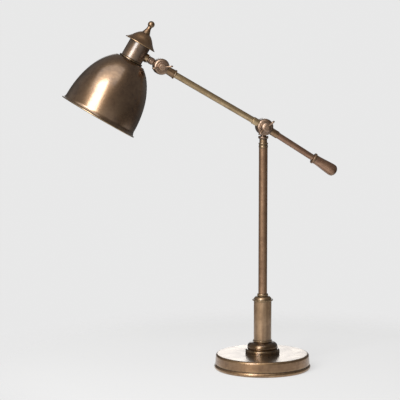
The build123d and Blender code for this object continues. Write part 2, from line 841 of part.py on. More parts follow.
# Collar and pear-shaped handle
handle_end = handle_start + handle_length
handle_socket_end = handle_start + handle_socket_depth + press_gap
with BuildPart() as handle_collar:
    with BuildSketch(rear_plane) as profile:
        rectangle_between(
            handle_start - handle_collar_length, handle_start, socket_radius, handle_collar_radius
        )
        fillet(profile.vertices().group_by(Axis.Y)[-1], handle_collar_round)
    revolve(axis=rear_axis)

with BuildPart() as handle:
    with BuildSketch(rear_plane):
        with BuildLine():
            Spline(
                (handle_start, handle_start_radius),
                (handle_start + handle_widest_at, handle_widest_radius),
                (handle_start + handle_shoulder_at, handle_shoulder_radius),
                (handle_end, 0),
                tangents=((1, 0), (0, -1)),
            )
            Polyline(
                (handle_end, 0),
                (handle_socket_end, 0),
                (handle_socket_end, socket_radius),
                (handle_start, socket_radius),
                (handle_start, handle_start_radius),
            )
        make_face()
    revolve(axis=rear_axis)

# Rear disc of the head knuckle with its ringed stem, bored for the wires
with BuildPart() as head_knuckle_stem:
    with BuildSketch(head_knuckle_plane) as profile:
        rear_disc_section(profile, head_disc_radius)
    revolve(axis=head_knuckle_axis)
    with BuildSketch(stem_plane):
        rectangle_between(chamber_radius + free_gap, stem_barrel_start, 0, post_neck_radius)
        rectangle_between(stem_barrel_start, stem_barrel_end, 0, stem_radius)
        rectangle_between(stem_barrel_end, stem_collar_start, 0, stem_groove_radius)
        rectangle_between(stem_ring_start, stem_ring_end, 0, stem_radius + stem_ring_width)
        rectangle_between(stem_collar_start, stem_spigot_end, 0, stem_spigot_radius)
    revolve(axis=stem_axis)
    with BuildSketch(stem_plane):
        rectangle_between(chamber_radius / 2, stem_spigot_end, 0, wire_bore_radius)
    revolve(axis=stem_axis, mode=Mode.SUBTRACT)

# Collar outside the neck and nut inside it, both shaped to the neck's wall
with BuildPart() as stem_collar:
    with BuildSketch(stem_plane) as profile:
        rectangle_between(stem_collar_start, head_reach, stem_hole_radius, stem_collar_radius)
        fillet(profile.vertices().group_by(Axis.X)[0].sort_by(Axis.Y)[-1], stem_collar_round)
    revolve(axis=stem_axis)
    with BuildSketch(head_plane):
        rectangle_between(0, neck_radius + press_gap, -neck_above_stem, neck_above_stem)
    revolve(axis=head_axis, mode=Mode.SUBTRACT)

with BuildPart() as stem_nut:
    with BuildSketch(Plane(head_pivot + arm_direction * stem_nut_start, z_dir=arm_direction)):
        RegularPolygon(stem_nut_radius, 6)
        Circle(stem_hole_radius, mode=Mode.SUBTRACT)
    extrude(amount=stem_nut_height)
    with BuildSketch(head_plane):
        rectangle_between(0, neck_inner_radius - press_gap, -neck_above_stem, neck_above_stem)
    revolve(axis=head_axis, mode=Mode.INTERSECT)

# Neck round the lampholder, with the bead ring at its foot
with BuildPart() as neck:
    with BuildSketch(head_plane):
        rectangle_between(neck_inner_radius, neck_radius, -neck_above_stem, neck_below_stem)
    revolve(axis=head_axis)
    with BuildSketch(stem_plane):
        rectangle_between(stem_collar_start, head_reach, 0, stem_hole_radius)
    revolve(axis=stem_axis, mode=Mode.SUBTRACT)

with BuildPart() as neck_ring:
    with BuildSketch(head_plane) as profile:
        rectangle_between(holder_hole_radius, neck_ring_radius, neck_below_stem, shade_top)
        fillet(profile.vertices().group_by(Axis.X)[-1], neck_ring_height * full_round_share)
    revolve(axis=head_axis)

# Ogee cap with its brim, hollow over the neck
cap_shoulder = (neck_radius - cap_shoulder_inset, cap_bottom - cap_shoulder_height)
cap_brim_radius = neck_radius + cap_brim_overhang
finial_hole_radius = holder_rod_bore_radius + free_gap
with BuildPart() as cap:
    with BuildSketch(head_plane):
        with BuildLine():
            Line((finial_hole_radius, cap_top), (cap_seat_radius, cap_top))
            SagittaArc((cap_seat_radius, cap_top), cap_shoulder, -cap_dome_bulge)
            SagittaArc(cap_shoulder, (cap_brim_radius, cap_bottom - cap_brim_thickness), cap_brim_sag)
            Polyline(
                (cap_brim_radius, cap_bottom - cap_brim_thickness),
                (cap_brim_radius, cap_bottom),
                (neck_inner_radius, cap_bottom),
                (cap_shoulder[0] - cap_roof_thickness, cap_shoulder[1]),
                (cap_seat_radius, cap_ceiling),
                (finial_hole_radius, cap_ceiling),
                (finial_hole_radius, cap_top),
            )
        make_face()
    revolve(axis=head_axis)

# Finial: a ball on a waisted foot, with the stud that pulls the head together
ball_centre = cap_top - finial_ball_height
finial_waist = cap_top - finial_waist_height
ball_neck = ball_centre + sqrt(finial_ball_radius**2 - finial_waist_radius**2)
with BuildPart() as finial:
    with BuildSketch(head_plane):
        with BuildLine():
            Line((0, cap_top), (finial_foot_radius, cap_top))
            Spline(
                (finial_foot_radius, cap_top),
                (finial_bead_radius, cap_top - finial_bead_height),
                (finial_waist_radius, finial_waist),
                (finial_waist_radius, ball_neck),
            )
            ThreePointArc(
                (finial_waist_radius, ball_neck),
                (finial_ball_radius, ball_centre),
                (0, ball_centre - finial_ball_radius),
            )
            Line((0, ball_centre - finial_ball_radius), (0, cap_top))
        make_face()
        rectangle_between(0, holder_rod_bore_radius - press_gap, cap_top, cap_top + finial_stud_length)
    revolve(axis=head_axis)

# Hollow rod from the lampholder up to the finial's stud
with BuildPart() as holder_rod:
    with BuildSketch(head_plane):
        rectangle_between(
            holder_rod_bore_radius, holder_rod_radius, cap_ceiling + free_gap, holder_rod_end
        )
    revolve(axis=head_axis)

# Lampholder: body, screw shell and centre contact
with BuildPart() as lampholder_body:
    with BuildSketch(head_plane):
        rectangle_between(0, holder_radius, holder_top, holder_mouth)
        rectangle_between(0, holder_bore_radius, holder_seat, holder_mouth, mode=Mode.SUBTRACT)
        rectangle_between(
            0, holder_rod_radius + press_gap, holder_top, holder_rod_end, mode=Mode.SUBTRACT
        )
    revolve(axis=head_axis)

with BuildPart() as lampholder_shell:
    with BuildSketch(head_plane):
        rectangle_between(shell_radius, shell_radius + shell_wall, holder_seat, holder_mouth - free_gap)
    revolve(axis=head_axis)

with BuildPart() as lampholder_contact:
    with BuildSketch(head_plane):
        rectangle_between(0, contact_radius, contact_top, contact_end)
    revolve(axis=head_axis)

# Ring that clamps the shade up against the neck ring
with BuildPart() as shade_ring:
    with BuildSketch(head_plane) as profile:
        rectangle_between(
            holder_hole_radius, shade_ring_radius, shade_underside, shade_underside + shade_ring_height
        )
        fillet(profile.vertices().group_by(Axis.X)[-1], shade_ring_round)
    revolve(axis=head_axis)


def bell_radius(place, wall):
    """Radius of the bell's ellipse at a place on the head's axis, for a surface that far inside it."""
    across = shade_radius - wall
    along = shade_ellipse_depth - wall
    return across * sqrt(1 - ((bell_end - place) / along) ** 2)


# Bell shade
flare_centre = (shade_radius + flare_radius, bell_end)
inner_flare_radius = flare_radius + shade_wall
roll_distance = flare_radius + shade_wall / 2
roll_centre = (
    flare_centre[0] - roll_distance * cos(radians(flare_angle)),
    flare_centre[1] + roll_distance * sin(radians(flare_angle)),
)
outer_start_angle = degrees(asin((bell_end - shade_top) / shade_ellipse_depth))
inner_start_angle = degrees(asin((bell_end - shade_underside) / (shade_ellipse_depth - shade_wall)))
with BuildPart() as shade:
    with BuildSketch(head_plane):
        with BuildLine():
            Line((holder_hole_radius, shade_top), (bell_radius(shade_top, 0), shade_top))
            EllipticalCenterArc(
                (0, bell_end),
                shade_radius,
                shade_ellipse_depth,
                arc_size=-outer_start_angle,
            )
            outer_flare = CenterArc(flare_centre, flare_radius, 180, -flare_angle)
            inner_flare = CenterArc(flare_centre, inner_flare_radius, 180, -flare_angle)
            EllipticalCenterArc(
                (0, bell_end),
                shade_radius - shade_wall,
                shade_ellipse_depth - shade_wall,
                arc_size=-inner_start_angle,
            )
            Line(outer_flare @ 1, inner_flare @ 1)
            Polyline(
                (bell_radius(shade_underside, shade_wall), shade_underside),
                (holder_hole_radius, shade_underside),
                (holder_hole_radius, shade_top),
            )
        make_face()
        with Locations(roll_centre):
            Circle(rim_roll_radius)
    revolve(axis=head_axis)

# Bulb: screw cap, insulator, contact and glass
with BuildPart() as bulb_cap:
    with BuildSketch(head_plane):
        rectangle_between(bulb_cap_radius - bulb_cap_wall, bulb_cap_radius, bulb_cap_start, bulb_cap_end)
    revolve(axis=head_axis)

with BuildPart() as bulb_insulator:
    with BuildSketch(head_plane):
        with BuildLine():
            Polyline(
                (0, bulb_insulator_start),
                (bulb_contact_radius, bulb_insulator_start),
                (bulb_cap_radius - bulb_cap_wall, bulb_cap_start),
                (0, bulb_cap_start),
                close=True,
            )
        make_face()
    revolve(axis=head_axis)

with BuildPart() as bulb_contact:
    with BuildSketch(head_plane):
        rectangle_between(0, bulb_contact_radius, bulb_tip, bulb_insulator_start)
    revolve(axis=head_axis)

globe_centre = bulb_end - bulb_glass_radius
with BuildPart() as bulb_glass:
    with BuildSketch(head_plane):
        with BuildLine():
            Line((bulb_neck_radius, bulb_cap_start), (bulb_neck_radius, bulb_cap_end))
            Spline(
                (bulb_neck_radius, bulb_cap_end),
                (bulb_glass_radius, globe_centre),
                tangents=((0, 1), (0, 1)),
            )
            CenterArc((0, globe_centre), bulb_glass_radius, 0, 90)
            Line((0, bulb_end), (0, bulb_end - bulb_glass_wall))
            CenterArc((0, globe_centre), bulb_glass_radius - bulb_glass_wall, 0, 90)
            Spline(
                (bulb_neck_radius - bulb_glass_wall, bulb_cap_end),
                (bulb_glass_radius - bulb_glass_wall, globe_centre),
                tangents=((0, 1), (0, 1)),
            )
            Polyline(
                (bulb_neck_radius - bulb_glass_wall, bulb_cap_end),
                (bulb_neck_radius - bulb_glass_wall, bulb_cap_start),
                (bulb_neck_radius, bulb_cap_start),
            )
        make_face()
    revolve(axis=head_axis)

# Label every piece and write it out
pieces = {
    "felt_pad": felt_pad,
    "base_weight": base_weight,
    "base_cover": base_cover,
    "cord_inlet_bush": cord_inlet_bush,
    "tie_rod": tie_rod,
    "tie_rod_washer": tie_rod_washer,
    "tie_rod_nut": tie_rod_nut,
    "boss_ring": boss_ring,
    "boss_cushion": boss_cushion,
    "sleeve_foot_ring": sleeve_foot_ring,
    "sleeve_tube": sleeve_tube,
    "sleeve_cap": sleeve_cap,
    "column_ring": column_ring,
    "column_tube": column_tube,
    "column_plug": column_plug,
    "column_ferrule": column_ferrule,
    "swivel_stop_screw": swivel_stop_screw,
    "swivel_washer": swivel_washer,
    "knuckle_post": knuckle_post,
    "arm_pivot_screw": arm_pivot_screw,
    "arm_friction_washer": arm_friction_washer,
    "arm_knuckle": arm_knuckle,
    "arm_pressure_washer": arm_pressure_washer,
    "arm_wing_nut": arm_wing_nut,
    "front_ferrule": front_ferrule,
    "front_arm_tube": front_arm_tube,
    "rear_ferrule": rear_ferrule,
    "rear_arm_tube": rear_arm_tube,
    "handle_collar": handle_collar,
    "handle": handle,
    "head_ferrule": head_ferrule,
    "head_knuckle_front": head_knuckle_front,
    "head_friction_washer": head_friction_washer,
    "head_pressure_washer": head_pressure_washer,
    "head_pivot_screw": head_pivot_screw,
    "head_wing_nut": head_wing_nut,
    "head_knuckle_stem": head_knuckle_stem,
    "stem_collar": stem_collar,
    "stem_nut": stem_nut,
    "neck": neck,
    "neck_ring": neck_ring,
    "cap": cap,
    "finial": finial,
    "holder_rod": holder_rod,
    "shade": shade,
    "shade_ring": shade_ring,
    "lampholder_body": lampholder_body,
    "lampholder_shell": lampholder_shell,
    "lampholder_contact": lampholder_contact,
    "bulb_cap": bulb_cap,
    "bulb_insulator": bulb_insulator,
    "bulb_contact": bulb_contact,
    "bulb_glass": bulb_glass,
}
os.makedirs("parts", exist_ok=True)
for name, piece in pieces.items():
    piece.part.label = name
    export_step(piece.part, f"parts/{name}.step")
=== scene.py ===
# %% [markdown]
# # An aged brass desk lamp, surface by surface
# The lamp comes in as a imported model: every piece at its real size, in metres, with its joints. This
# lesson gives it its looks. Almost everything on it was turned or spun on a lathe, so one kind of
# surface, an outline carried round an axis, makes nearly every piece. The frame is loaded first.

# %% Load the frame
import json
import bpy
import numpy as np
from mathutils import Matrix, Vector


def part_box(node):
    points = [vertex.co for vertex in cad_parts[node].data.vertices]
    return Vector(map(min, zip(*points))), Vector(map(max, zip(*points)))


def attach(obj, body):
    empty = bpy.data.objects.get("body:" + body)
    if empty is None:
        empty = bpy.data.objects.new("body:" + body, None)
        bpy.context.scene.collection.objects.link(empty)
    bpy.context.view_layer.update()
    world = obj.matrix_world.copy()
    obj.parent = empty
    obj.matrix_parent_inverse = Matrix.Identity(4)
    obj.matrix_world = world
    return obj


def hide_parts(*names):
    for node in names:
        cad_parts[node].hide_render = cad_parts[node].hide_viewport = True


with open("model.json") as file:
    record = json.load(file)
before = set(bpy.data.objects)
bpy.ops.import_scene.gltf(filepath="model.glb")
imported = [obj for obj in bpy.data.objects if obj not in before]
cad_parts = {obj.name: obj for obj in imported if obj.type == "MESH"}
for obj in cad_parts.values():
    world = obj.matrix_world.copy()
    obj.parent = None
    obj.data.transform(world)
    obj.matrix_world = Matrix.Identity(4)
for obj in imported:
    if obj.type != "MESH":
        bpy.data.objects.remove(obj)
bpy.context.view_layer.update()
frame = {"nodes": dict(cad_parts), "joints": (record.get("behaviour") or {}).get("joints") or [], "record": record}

mm = 0.001
body_of = {node: body for body, nodes in frame["record"]["behaviour"]["bodies"].items() for node in nodes}

# %% [markdown]
# ## The lines that the lamp is built round
# A turned piece needs an axis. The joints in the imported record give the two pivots, and with them the
# direction of the arm. The head hangs square to the arm, the rear arm droops a little below the line of
# the front one, and the arm runs in front of the column, in the plane of the knuckles' front discs.
# Each axis is kept as an origin, a direction along it and a direction across it.

# %% Axes
joint_place = {joint["name"]: np.array(joint["pos_m"]) for joint in frame["joints"]}
front = np.array([0.0, -1.0, 0.0])
up = np.array([0.0, 0.0, 1.0])
right = np.array([1.0, 0.0, 0.0])
arm_pivot = joint_place["arm_tilt"]
head_pivot = joint_place["head_tilt"]
arm_length = np.linalg.norm(head_pivot - arm_pivot)
arm_way = (head_pivot - arm_pivot) / arm_length
head_way = np.cross(front, arm_way)
rear_droop = np.radians(2.3)
rear_way = -arm_way * np.cos(rear_droop) + head_way * np.sin(rear_droop)
tube_low, tube_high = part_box("front_arm_tube")
arm_depth = -(tube_low.y + tube_high.y) / 2
stem_to_neck = 54.95 * mm
neck_centre = head_pivot + arm_way * stem_to_neck

column_axis = (np.zeros(3), up, right)
arm_axis = (arm_pivot + front * arm_depth, arm_way, front)
rear_axis = (arm_pivot + front * arm_depth, rear_way, front)
stem_axis = (head_pivot, arm_way, front)
head_axis = (neck_centre, head_way, front)
arm_knuckle_axis = (arm_pivot, front, right)
head_knuckle_axis = (head_pivot, front, right)
print("arm", round(arm_length, 4), "m long, rising", round(np.degrees(np.arcsin(arm_way[2])), 1), "degrees")

# %% [markdown]
# ## The camera
# The photograph was taken from far away with a long lens, from slightly above the lamp and a little to
# the left of its front. A long lens keeps the column straight and the base's ellipse flat. The camera
# looks at a point in the middle of the lamp.

# %% Camera
view_azimuth = np.radians(-9.0)
view_elevation = np.radians(7.53)
view_distance = 4.0
lens_length, sensor_width = 186.4, 36.0
look_at = np.array([-123.9, 0.0, 335.3]) * mm
towards_camera = np.array([
    np.sin(view_azimuth) * np.cos(view_elevation),
    -np.cos(view_azimuth) * np.cos(view_elevation),
    np.sin(view_elevation),
])
camera = bpy.data.objects.new("camera", bpy.data.cameras.new("camera"))
camera.data.lens, camera.data.sensor_width = lens_length, sensor_width
camera.location = look_at + view_distance * towards_camera
camera.rotation_euler = Vector(-towards_camera).to_track_quat("-Z", "Y").to_euler()
bpy.context.scene.collection.objects.link(camera)
bpy.context.scene.camera = camera
bpy.context.scene.view_settings.view_transform = "Standard"
print("camera at", np.round(camera.location, 3))

# %% [markdown]
# ## Small helpers for nodes
# A material, a world and a floor are all graphs of nodes. Writing each link by hand hides the idea, so
# one helper adds a node, sets its options, and connects or fills its sockets by name. The others stand
# on it: one blends two colours, which in Blender is a mode of the Mix node with numbered sockets, and
# the rest do arithmetic, make noise, or ask a ray where it goes.

# %% Node helpers
MIX_FACTOR, MIX_A, MIX_B, MIX_COLOUR = 0, 6, 7, 2


def add_node(tree, kind, inputs=None, **options):
    """Adds a node; inputs maps a socket to a plain value or to the output socket that feeds it."""
    node = tree.nodes.new(kind)
    for option, value in options.items():
        setattr(node, option, value)
    for socket, value in (inputs or {}).items():
        if isinstance(value, bpy.types.NodeSocket):
            tree.links.new(value, node.inputs[socket])
        else:
            node.inputs[socket].default_value = value
    return node


def blended(tree, factor, first, second):
    """The colour that lies the given share of the way from the first colour to the second."""
    inputs = {MIX_FACTOR: factor, MIX_A: first, MIX_B: second}
    return add_node(tree, "ShaderNodeMix", inputs, data_type="RGBA").outputs[MIX_COLOUR]


def worked_out(tree, operation, *values):
    """The result of one step of arithmetic on numbers or sockets."""
    return add_node(tree, "ShaderNodeMath", dict(enumerate(values)), operation=operation).outputs[0]


def scaled(tree, value, times, plus=0.0):
    """A number times one amount plus another."""
    return worked_out(tree, "MULTIPLY_ADD", value, times, plus)


def ranged(tree, value, low, high, to_low=0.0, to_high=1.0):
    """A number eased from one range to another, and held at the ends."""
    inputs = {"Value": value, "From Min": low, "From Max": high, "To Min": to_low, "To Max": to_high}
    return add_node(tree, "ShaderNodeMapRange", inputs, interpolation_type="SMOOTHSTEP").outputs["Result"]


def noise(tree, place, size, detail, roughness, distortion=0.0):
    """A cloudy number between 0 and 1, with clouds of about the given size."""
    inputs = {"Vector": place, "Scale": 1 / size, "Detail": detail, "Roughness": roughness,
              "Distortion": distortion}
    return add_node(tree, "ShaderNodeTexNoise", inputs).outputs["Fac"]


def facing(tree, way, aim):
    """How nearly a ray's direction points along an aim: the product of the two."""
    return add_node(tree, "ShaderNodeVectorMath", {0: way, 1: aim}, operation="DOT_PRODUCT").outputs["Value"]


def through_metal_or_glass(tree, ray):
    """1 for a ray that a mirror sends back or glass lets through, else 0."""
    return worked_out(tree, "MAXIMUM", ray["Is Glossy Ray"], ray["Is Transmission Ray"])


def empty_tree(owner):
    """The owner's node tree, switched on and cleared."""
    owner.use_nodes = True
    owner.node_tree.nodes.clear()
    return owner.node_tree


print("node helpers ready")

# %% [markdown]
# ## The studio
# Polished metal has little colour of its own: it shows the room. The photograph's room is a pale sweep
# behind the lamp, a sheet of white paper low in front, and a dim studio everywhere else, lightest near
# the horizon on the left, dimmer at the ceiling and dark beside the sweep. The world is that room,
# worked out from the direction of the ray. Only for the camera's own rays is it the same pale tone
# everywhere, so that each view has a plain background, while rays mirrored by metal or sent on by glass
# meet the sweep where it stands.

# %% World
pale = (0.81, 0.81, 0.81, 1.0)
lit_side_tone = (0.29, 0.278, 0.266, 1.0)
far_side_tone = (0.17, 0.163, 0.156, 1.0)
dark_tone = (0.08, 0.076, 0.072, 1.0)
ceiling_tone = (0.22, 0.212, 0.204, 1.0)
paper_tone = (0.75, 0.74, 0.72, 1.0)
sweep_way, sweep_edge = (0.151, 0.956, 0.25), (0.965, 0.99)
paper_way, paper_edge = (-0.15, -0.72, -0.68), (0.55, 0.95)
lit_to_far, ground_edge, ceiling_edge = (-0.8, 0.6), (-0.40, -0.02), (0.95, 0.40)
behind_edge, overhead_edge = (0.95, 0.60), (0.35, 0.80)

world = bpy.data.worlds.new("studio")
bpy.context.scene.world = world
tree = empty_tree(world)
ray = add_node(tree, "ShaderNodeLightPath").outputs
way = add_node(tree, "ShaderNodeTexCoord").outputs["Generated"]
parts = add_node(tree, "ShaderNodeSeparateXYZ", {0: way}).outputs
sides = blended(tree, ranged(tree, parts["X"], *lit_to_far), lit_side_tone, far_side_tone)
above_ground = ranged(tree, parts["Z"], *ground_edge)
below_ceiling = ranged(tree, parts["Z"], *ceiling_edge)
not_behind = ranged(tree, parts["Y"], *behind_edge)
horizon = worked_out(tree, "MULTIPLY", above_ground, below_ceiling)
lit_part = worked_out(tree, "MULTIPLY", horizon, not_behind)
unlit = blended(tree, ranged(tree, parts["Z"], *overhead_edge), dark_tone, ceiling_tone)
room = blended(tree, lit_part, unlit, sides)
on_paper = ranged(tree, facing(tree, way, paper_way), *paper_edge)
room = blended(tree, on_paper, room, paper_tone)
on_sweep = ranged(tree, facing(tree, way, sweep_way), *sweep_edge)
sweep_share = worked_out(tree, "MULTIPLY", on_sweep, through_metal_or_glass(tree, ray))
studio = blended(tree, sweep_share, room, pale)
seen = blended(tree, ray["Is Camera Ray"], studio, pale)
background = add_node(tree, "ShaderNodeBackground", {"Color": seen})
add_node(tree, "ShaderNodeOutputWorld", {"Surface": background.outputs[0]})
print("world:", len(tree.nodes), "nodes")

# %% [markdown]
# The lamp stands on a pale round table top. Part of its tone is its own and is lit by the lamps, so it
# keeps the soft shadow, and the rest is added only where it is seen, directly or in metal or glass, to
# reach the tone of the sweep. Towards its rim it fades out, so that no edge shows, and from below it
# can't be seen at all, so that it never hides the lamp.

# %% Floor
floor_radius, floor_fade_start, floor_sides = 0.66, 0.40, 96
floor_own_tone = (0.24, 0.24, 0.24, 1.0)
floor_added_tone = (0.62, 0.62, 0.62, 1.0)

turn = np.linspace(0, 2 * np.pi, floor_sides, endpoint=False)
floor_mesh = bpy.data.meshes.new("floor")
rim = floor_radius * np.stack([np.cos(turn), np.sin(turn), np.zeros_like(turn)], axis=1)
floor_mesh.from_pydata(rim.tolist(), [], [list(range(floor_sides))])
floor = bpy.data.objects.new("floor", floor_mesh)
bpy.context.scene.collection.objects.link(floor)

floor_finish = bpy.data.materials.new("pale_floor")
tree = empty_tree(floor_finish)
ray = add_node(tree, "ShaderNodeLightPath").outputs
place = add_node(tree, "ShaderNodeTexCoord").outputs["Object"]
from_middle = add_node(tree, "ShaderNodeVectorMath", {0: place}, operation="LENGTH").outputs["Value"]
underneath = add_node(tree, "ShaderNodeNewGeometry").outputs["Backfacing"]
fading = worked_out(tree, "MAXIMUM", ranged(tree, from_middle, floor_fade_start, floor_radius), underneath)
seen = worked_out(tree, "MAXIMUM", ray["Is Camera Ray"], through_metal_or_glass(tree, ray))
lit = add_node(tree, "ShaderNodeBsdfDiffuse", {"Color": floor_own_tone})
added = add_node(tree, "ShaderNodeEmission", {"Color": floor_added_tone, "Strength": seen})
both = add_node(tree, "ShaderNodeAddShader", {0: lit.outputs[0], 1: added.outputs[0]})
gone = add_node(tree, "ShaderNodeBsdfTransparent")
faded = add_node(tree, "ShaderNodeMixShader", {0: fading, 1: both.outputs[0], 2: gone.outputs[0]})
add_node(tree, "ShaderNodeOutputMaterial", {"Surface": faded.outputs[0]})
floor_mesh.materials.append(floor_finish)
print("floor", floor_radius, "m in radius")

# %% [markdown]
# A tall soft box stands at the front left and draws the white stripe down the shade. A weak one
# overhead lifts what faces up, and one behind gives the bright field that the polished top of the base
# mirrors. Each is a rectangular area lamp aimed at the lamp's middle, and the brightness of its face is
# set, not its wattage: a lamp of power P and area A has a face of radiance P / (pi A).

# %% Soft boxes
def soft_box(name, azimuth, elevation, distance, width, height, brightness):
    """A rectangular lamp in the given direction from the object's middle, seen in metal only."""
    a, e = np.radians(azimuth), np.radians(elevation)
    way = np.array([np.sin(a) * np.cos(e), -np.cos(a) * np.cos(e), np.sin(e)])
    data = bpy.data.lights.new(name, "AREA")
    data.shape = "RECTANGLE"
    data.size, data.size_y = width, height
    data.energy = brightness * np.pi * width * height
    lamp = bpy.data.objects.new(name, data)
    lamp.location = look_at + distance * way
    lamp.rotation_euler = Vector(-way).to_track_quat("-Z", "Y").to_euler()
    lamp.visible_camera = False
    bpy.context.scene.collection.objects.link(lamp)
    print(name, round(data.energy, 1), "W")


soft_box("key_soft_box", azimuth=-37.4, elevation=27, distance=2.2,
         width=0.95, height=2.2, brightness=8.5)
soft_box("top_soft_box", azimuth=-30, elevation=64, distance=2.2,
         width=2.4, height=1.5, brightness=1.3)
soft_box("rear_soft_box", azimuth=171.5, elevation=5.5, distance=2.6,
         width=0.8, height=0.65, brightness=1.35)

# %% [markdown]
# ## From outline to surface
# An outline is a list of points, each a place along the axis and a radius. Real turned brass has no
# knife edges, so a corner carries a rounding, and an arc of that radius is put in its place; even a crisp
# edge has a fifth of a millimetre. Long straight stretches get a few spare points near their ends:
# smooth shading then stays flat between them, and wear at an edge can fade out over a millimetre or two.

# %% Outlines
SPARE_PLACES = np.array([0.25, 0.9, 2.2, 5.0]) * mm
SHORT_STRETCH, SPARE_LIMIT = 3.0 * mm, 0.45
SAME_POINT, SMALLEST_TURN, TINY = 1e-6, 1e-4, 1e-12
CRISP = 0.2 * mm


def unit(vectors):
    """Vectors of length one."""
    return vectors / np.maximum(np.linalg.norm(vectors, axis=-1, keepdims=True), TINY)


def rounded_outline(*stretches, closed=True, arc_points=7):
    """Outline along stretches of corners (along, radius, rounding) or of a curve's points (along, radius).

    A rounding r in a corner of angle w starts r / tan(w / 2) before it, and its arc lies round the
    point r / sin(w / 2) away on the corner's bisector. An open outline keeps its end points.
    """
    corners = np.concatenate([np.pad(rows, ((0, 0), (0, 3 - np.shape(rows)[1]))) for rows in stretches])
    here, rounding = corners[:, :2], corners[:, 2:]
    back, ahead = unit(np.roll(here, 1, 0) - here), unit(np.roll(here, -1, 0) - here)
    half = np.arccos(np.clip((back * ahead).sum(1, keepdims=True), -1, 1)) / 2
    reach = rounding / np.tan(half)
    arc_start, arc_end = here + back * reach, here + ahead * reach
    middle = here + unit(back + ahead) * rounding / np.sin(half)
    sweep = np.clip(np.pi - 2 * half, SMALLEST_TURN, None)[:, None]
    share = np.linspace(0, 1, arc_points)[None, :, None]
    arcs = middle[:, None] + (np.sin((1 - share) * sweep) * (arc_start - middle)[:, None]
                              + np.sin(share * sweep) * (arc_end - middle)[:, None]) / np.sin(sweep)
    next_start = np.roll(arc_start, -1, 0)
    length = np.linalg.norm(next_start - arc_end, axis=1)[:, None]
    places = np.where(length > SHORT_STRETCH, np.minimum(SPARE_PLACES, SPARE_LIMIT * length), 0.0)
    places = np.concatenate([places, (length - places)[:, ::-1]], axis=1) / np.maximum(length, TINY)
    spare = arc_end[:, None] + places[..., None] * (next_start - arc_end)[:, None]
    if not closed:
        spare[-1] = arcs[-1, -1]
    points = np.concatenate([arcs, spare], axis=1).reshape(-1, 2)
    new = np.linalg.norm(points - np.roll(points, 1, 0), axis=1) > SAME_POINT
    new[0] = True
    return points[new]


def batten(points, first_way=None, last_way=None, count=48):
    """Smooth curve through a few points, as a bent batten lies: a cubic spline over the chord lengths.

    Slopes are chosen so that the bend is continuous at every point; an end is free or has a given way.
    """
    points = np.asarray(points, float)
    gap = np.linalg.norm(np.diff(points, axis=0), axis=1)
    n = len(points)
    system, wanted = np.zeros((n, n)), np.zeros((n, 2))
    rise = np.diff(points, axis=0) / gap[:, None]
    inner = np.arange(1, n - 1)
    system[inner, inner - 1] = gap[1:]
    system[inner, inner] = 2 * (gap[1:] + gap[:-1])
    system[inner, inner + 1] = gap[:-1]
    wanted[inner] = 3 * (gap[1:, None] * rise[:-1] + gap[:-1, None] * rise[1:])
    system[0, :2], wanted[0] = (2, 1), 3 * rise[0]
    system[-1, -2:], wanted[-1] = (1, 2), 3 * rise[-1]
    if first_way is not None:
        system[0], wanted[0] = np.eye(n)[0], first_way
    if last_way is not None:
        system[-1], wanted[-1] = np.eye(n)[-1], last_way
    slope = np.linalg.solve(system, wanted)
    knots = np.concatenate([[0], np.cumsum(gap)])
    at = np.linspace(0, knots[-1], count)
    i = np.clip(np.searchsorted(knots, at, side="right") - 1, 0, n - 2)
    t = ((at - knots[i]) / gap[i])[:, None]
    h = gap[i][:, None]
    return ((1 + 2 * t) * (1 - t) ** 2 * points[i] + t * (1 - t) ** 2 * h * slope[i]
            + t * t * (3 - 2 * t) * points[i + 1] + t * t * (t - 1) * h * slope[i + 1])


def bowed(start, end, bow, count=16):
    """Points of a shallow curve between two points, standing off its chord by bow, left of the way."""
    start, end = np.asarray(start, float), np.asarray(end, float)
    share = np.linspace(0, 1, count)[:, None]
    aside = unit(np.array([start[1] - end[1], end[0] - start[0]]))
    return start + share * (end - start) + 4 * bow * share * (1 - share) * aside


def ring_section(start, end, inside, outside, start_round, end_round, bore_round=CRISP):
    """Section of a plain ring or tube: its two outer edges and the edges of its bore, each rounded."""
    return rounded_outline([
        [start, inside, bore_round],
        [start, outside, start_round],
        [end, outside, end_round],
        [end, inside, bore_round],
    ])


print("a plain ring's section has", len(ring_section(0, 9 * mm, 5 * mm, 9 * mm, 1 * mm, 1 * mm)), "points")

# %% [markdown]
# A surface of revolution is a function of two parameters: how far along the outline, and how far round
# the axis. Whole arrays hold the grid, and each array goes into the mesh in one call. A point on the
# axis is a single vertex with triangles round it, so the skin closes. Three things are stored with each
# vertex for the finish: its place in the piece's own frame, how sharply the outline bends outwards
# there, where hands and cloths polish the brass, and how sheltered it is, where dark patina stays.

# %% Turned pieces
HALF_WORN_BEND, WEAR_REACH = 700.0, 0.9 * mm


def mesh_of(name, points, quads, triangles):
    """Mesh from whole arrays of points, four-sided faces and three-sided faces, shaded smooth."""
    corners = np.concatenate([np.ravel(quads), np.ravel(triangles)]).astype(np.int32)
    four, three = len(quads), len(triangles)
    starts = np.concatenate([4 * np.arange(four), 4 * four + 3 * np.arange(three)]).astype(np.int32)
    mesh = bpy.data.meshes.new(name)
    mesh.vertices.add(len(points))
    mesh.vertices.foreach_set("co", np.asarray(points, np.float32).ravel())
    mesh.loops.add(len(corners))
    mesh.loops.foreach_set("vertex_index", corners)
    mesh.polygons.add(len(starts))
    mesh.polygons.foreach_set("loop_start", starts)
    mesh.update(calc_edges=True)
    mesh.polygons.foreach_set("use_smooth", np.ones(len(starts), bool))
    return mesh


def store(mesh, name, values):
    """Keeps one number or one vector per vertex as an attribute that a material can read."""
    kind, field = ("FLOAT", "value") if values.ndim == 1 else ("FLOAT_VECTOR", "vector")
    layer = mesh.attributes.new(name, kind, "POINT")
    layer.data.foreach_set(field, np.asarray(values, np.float32).ravel())


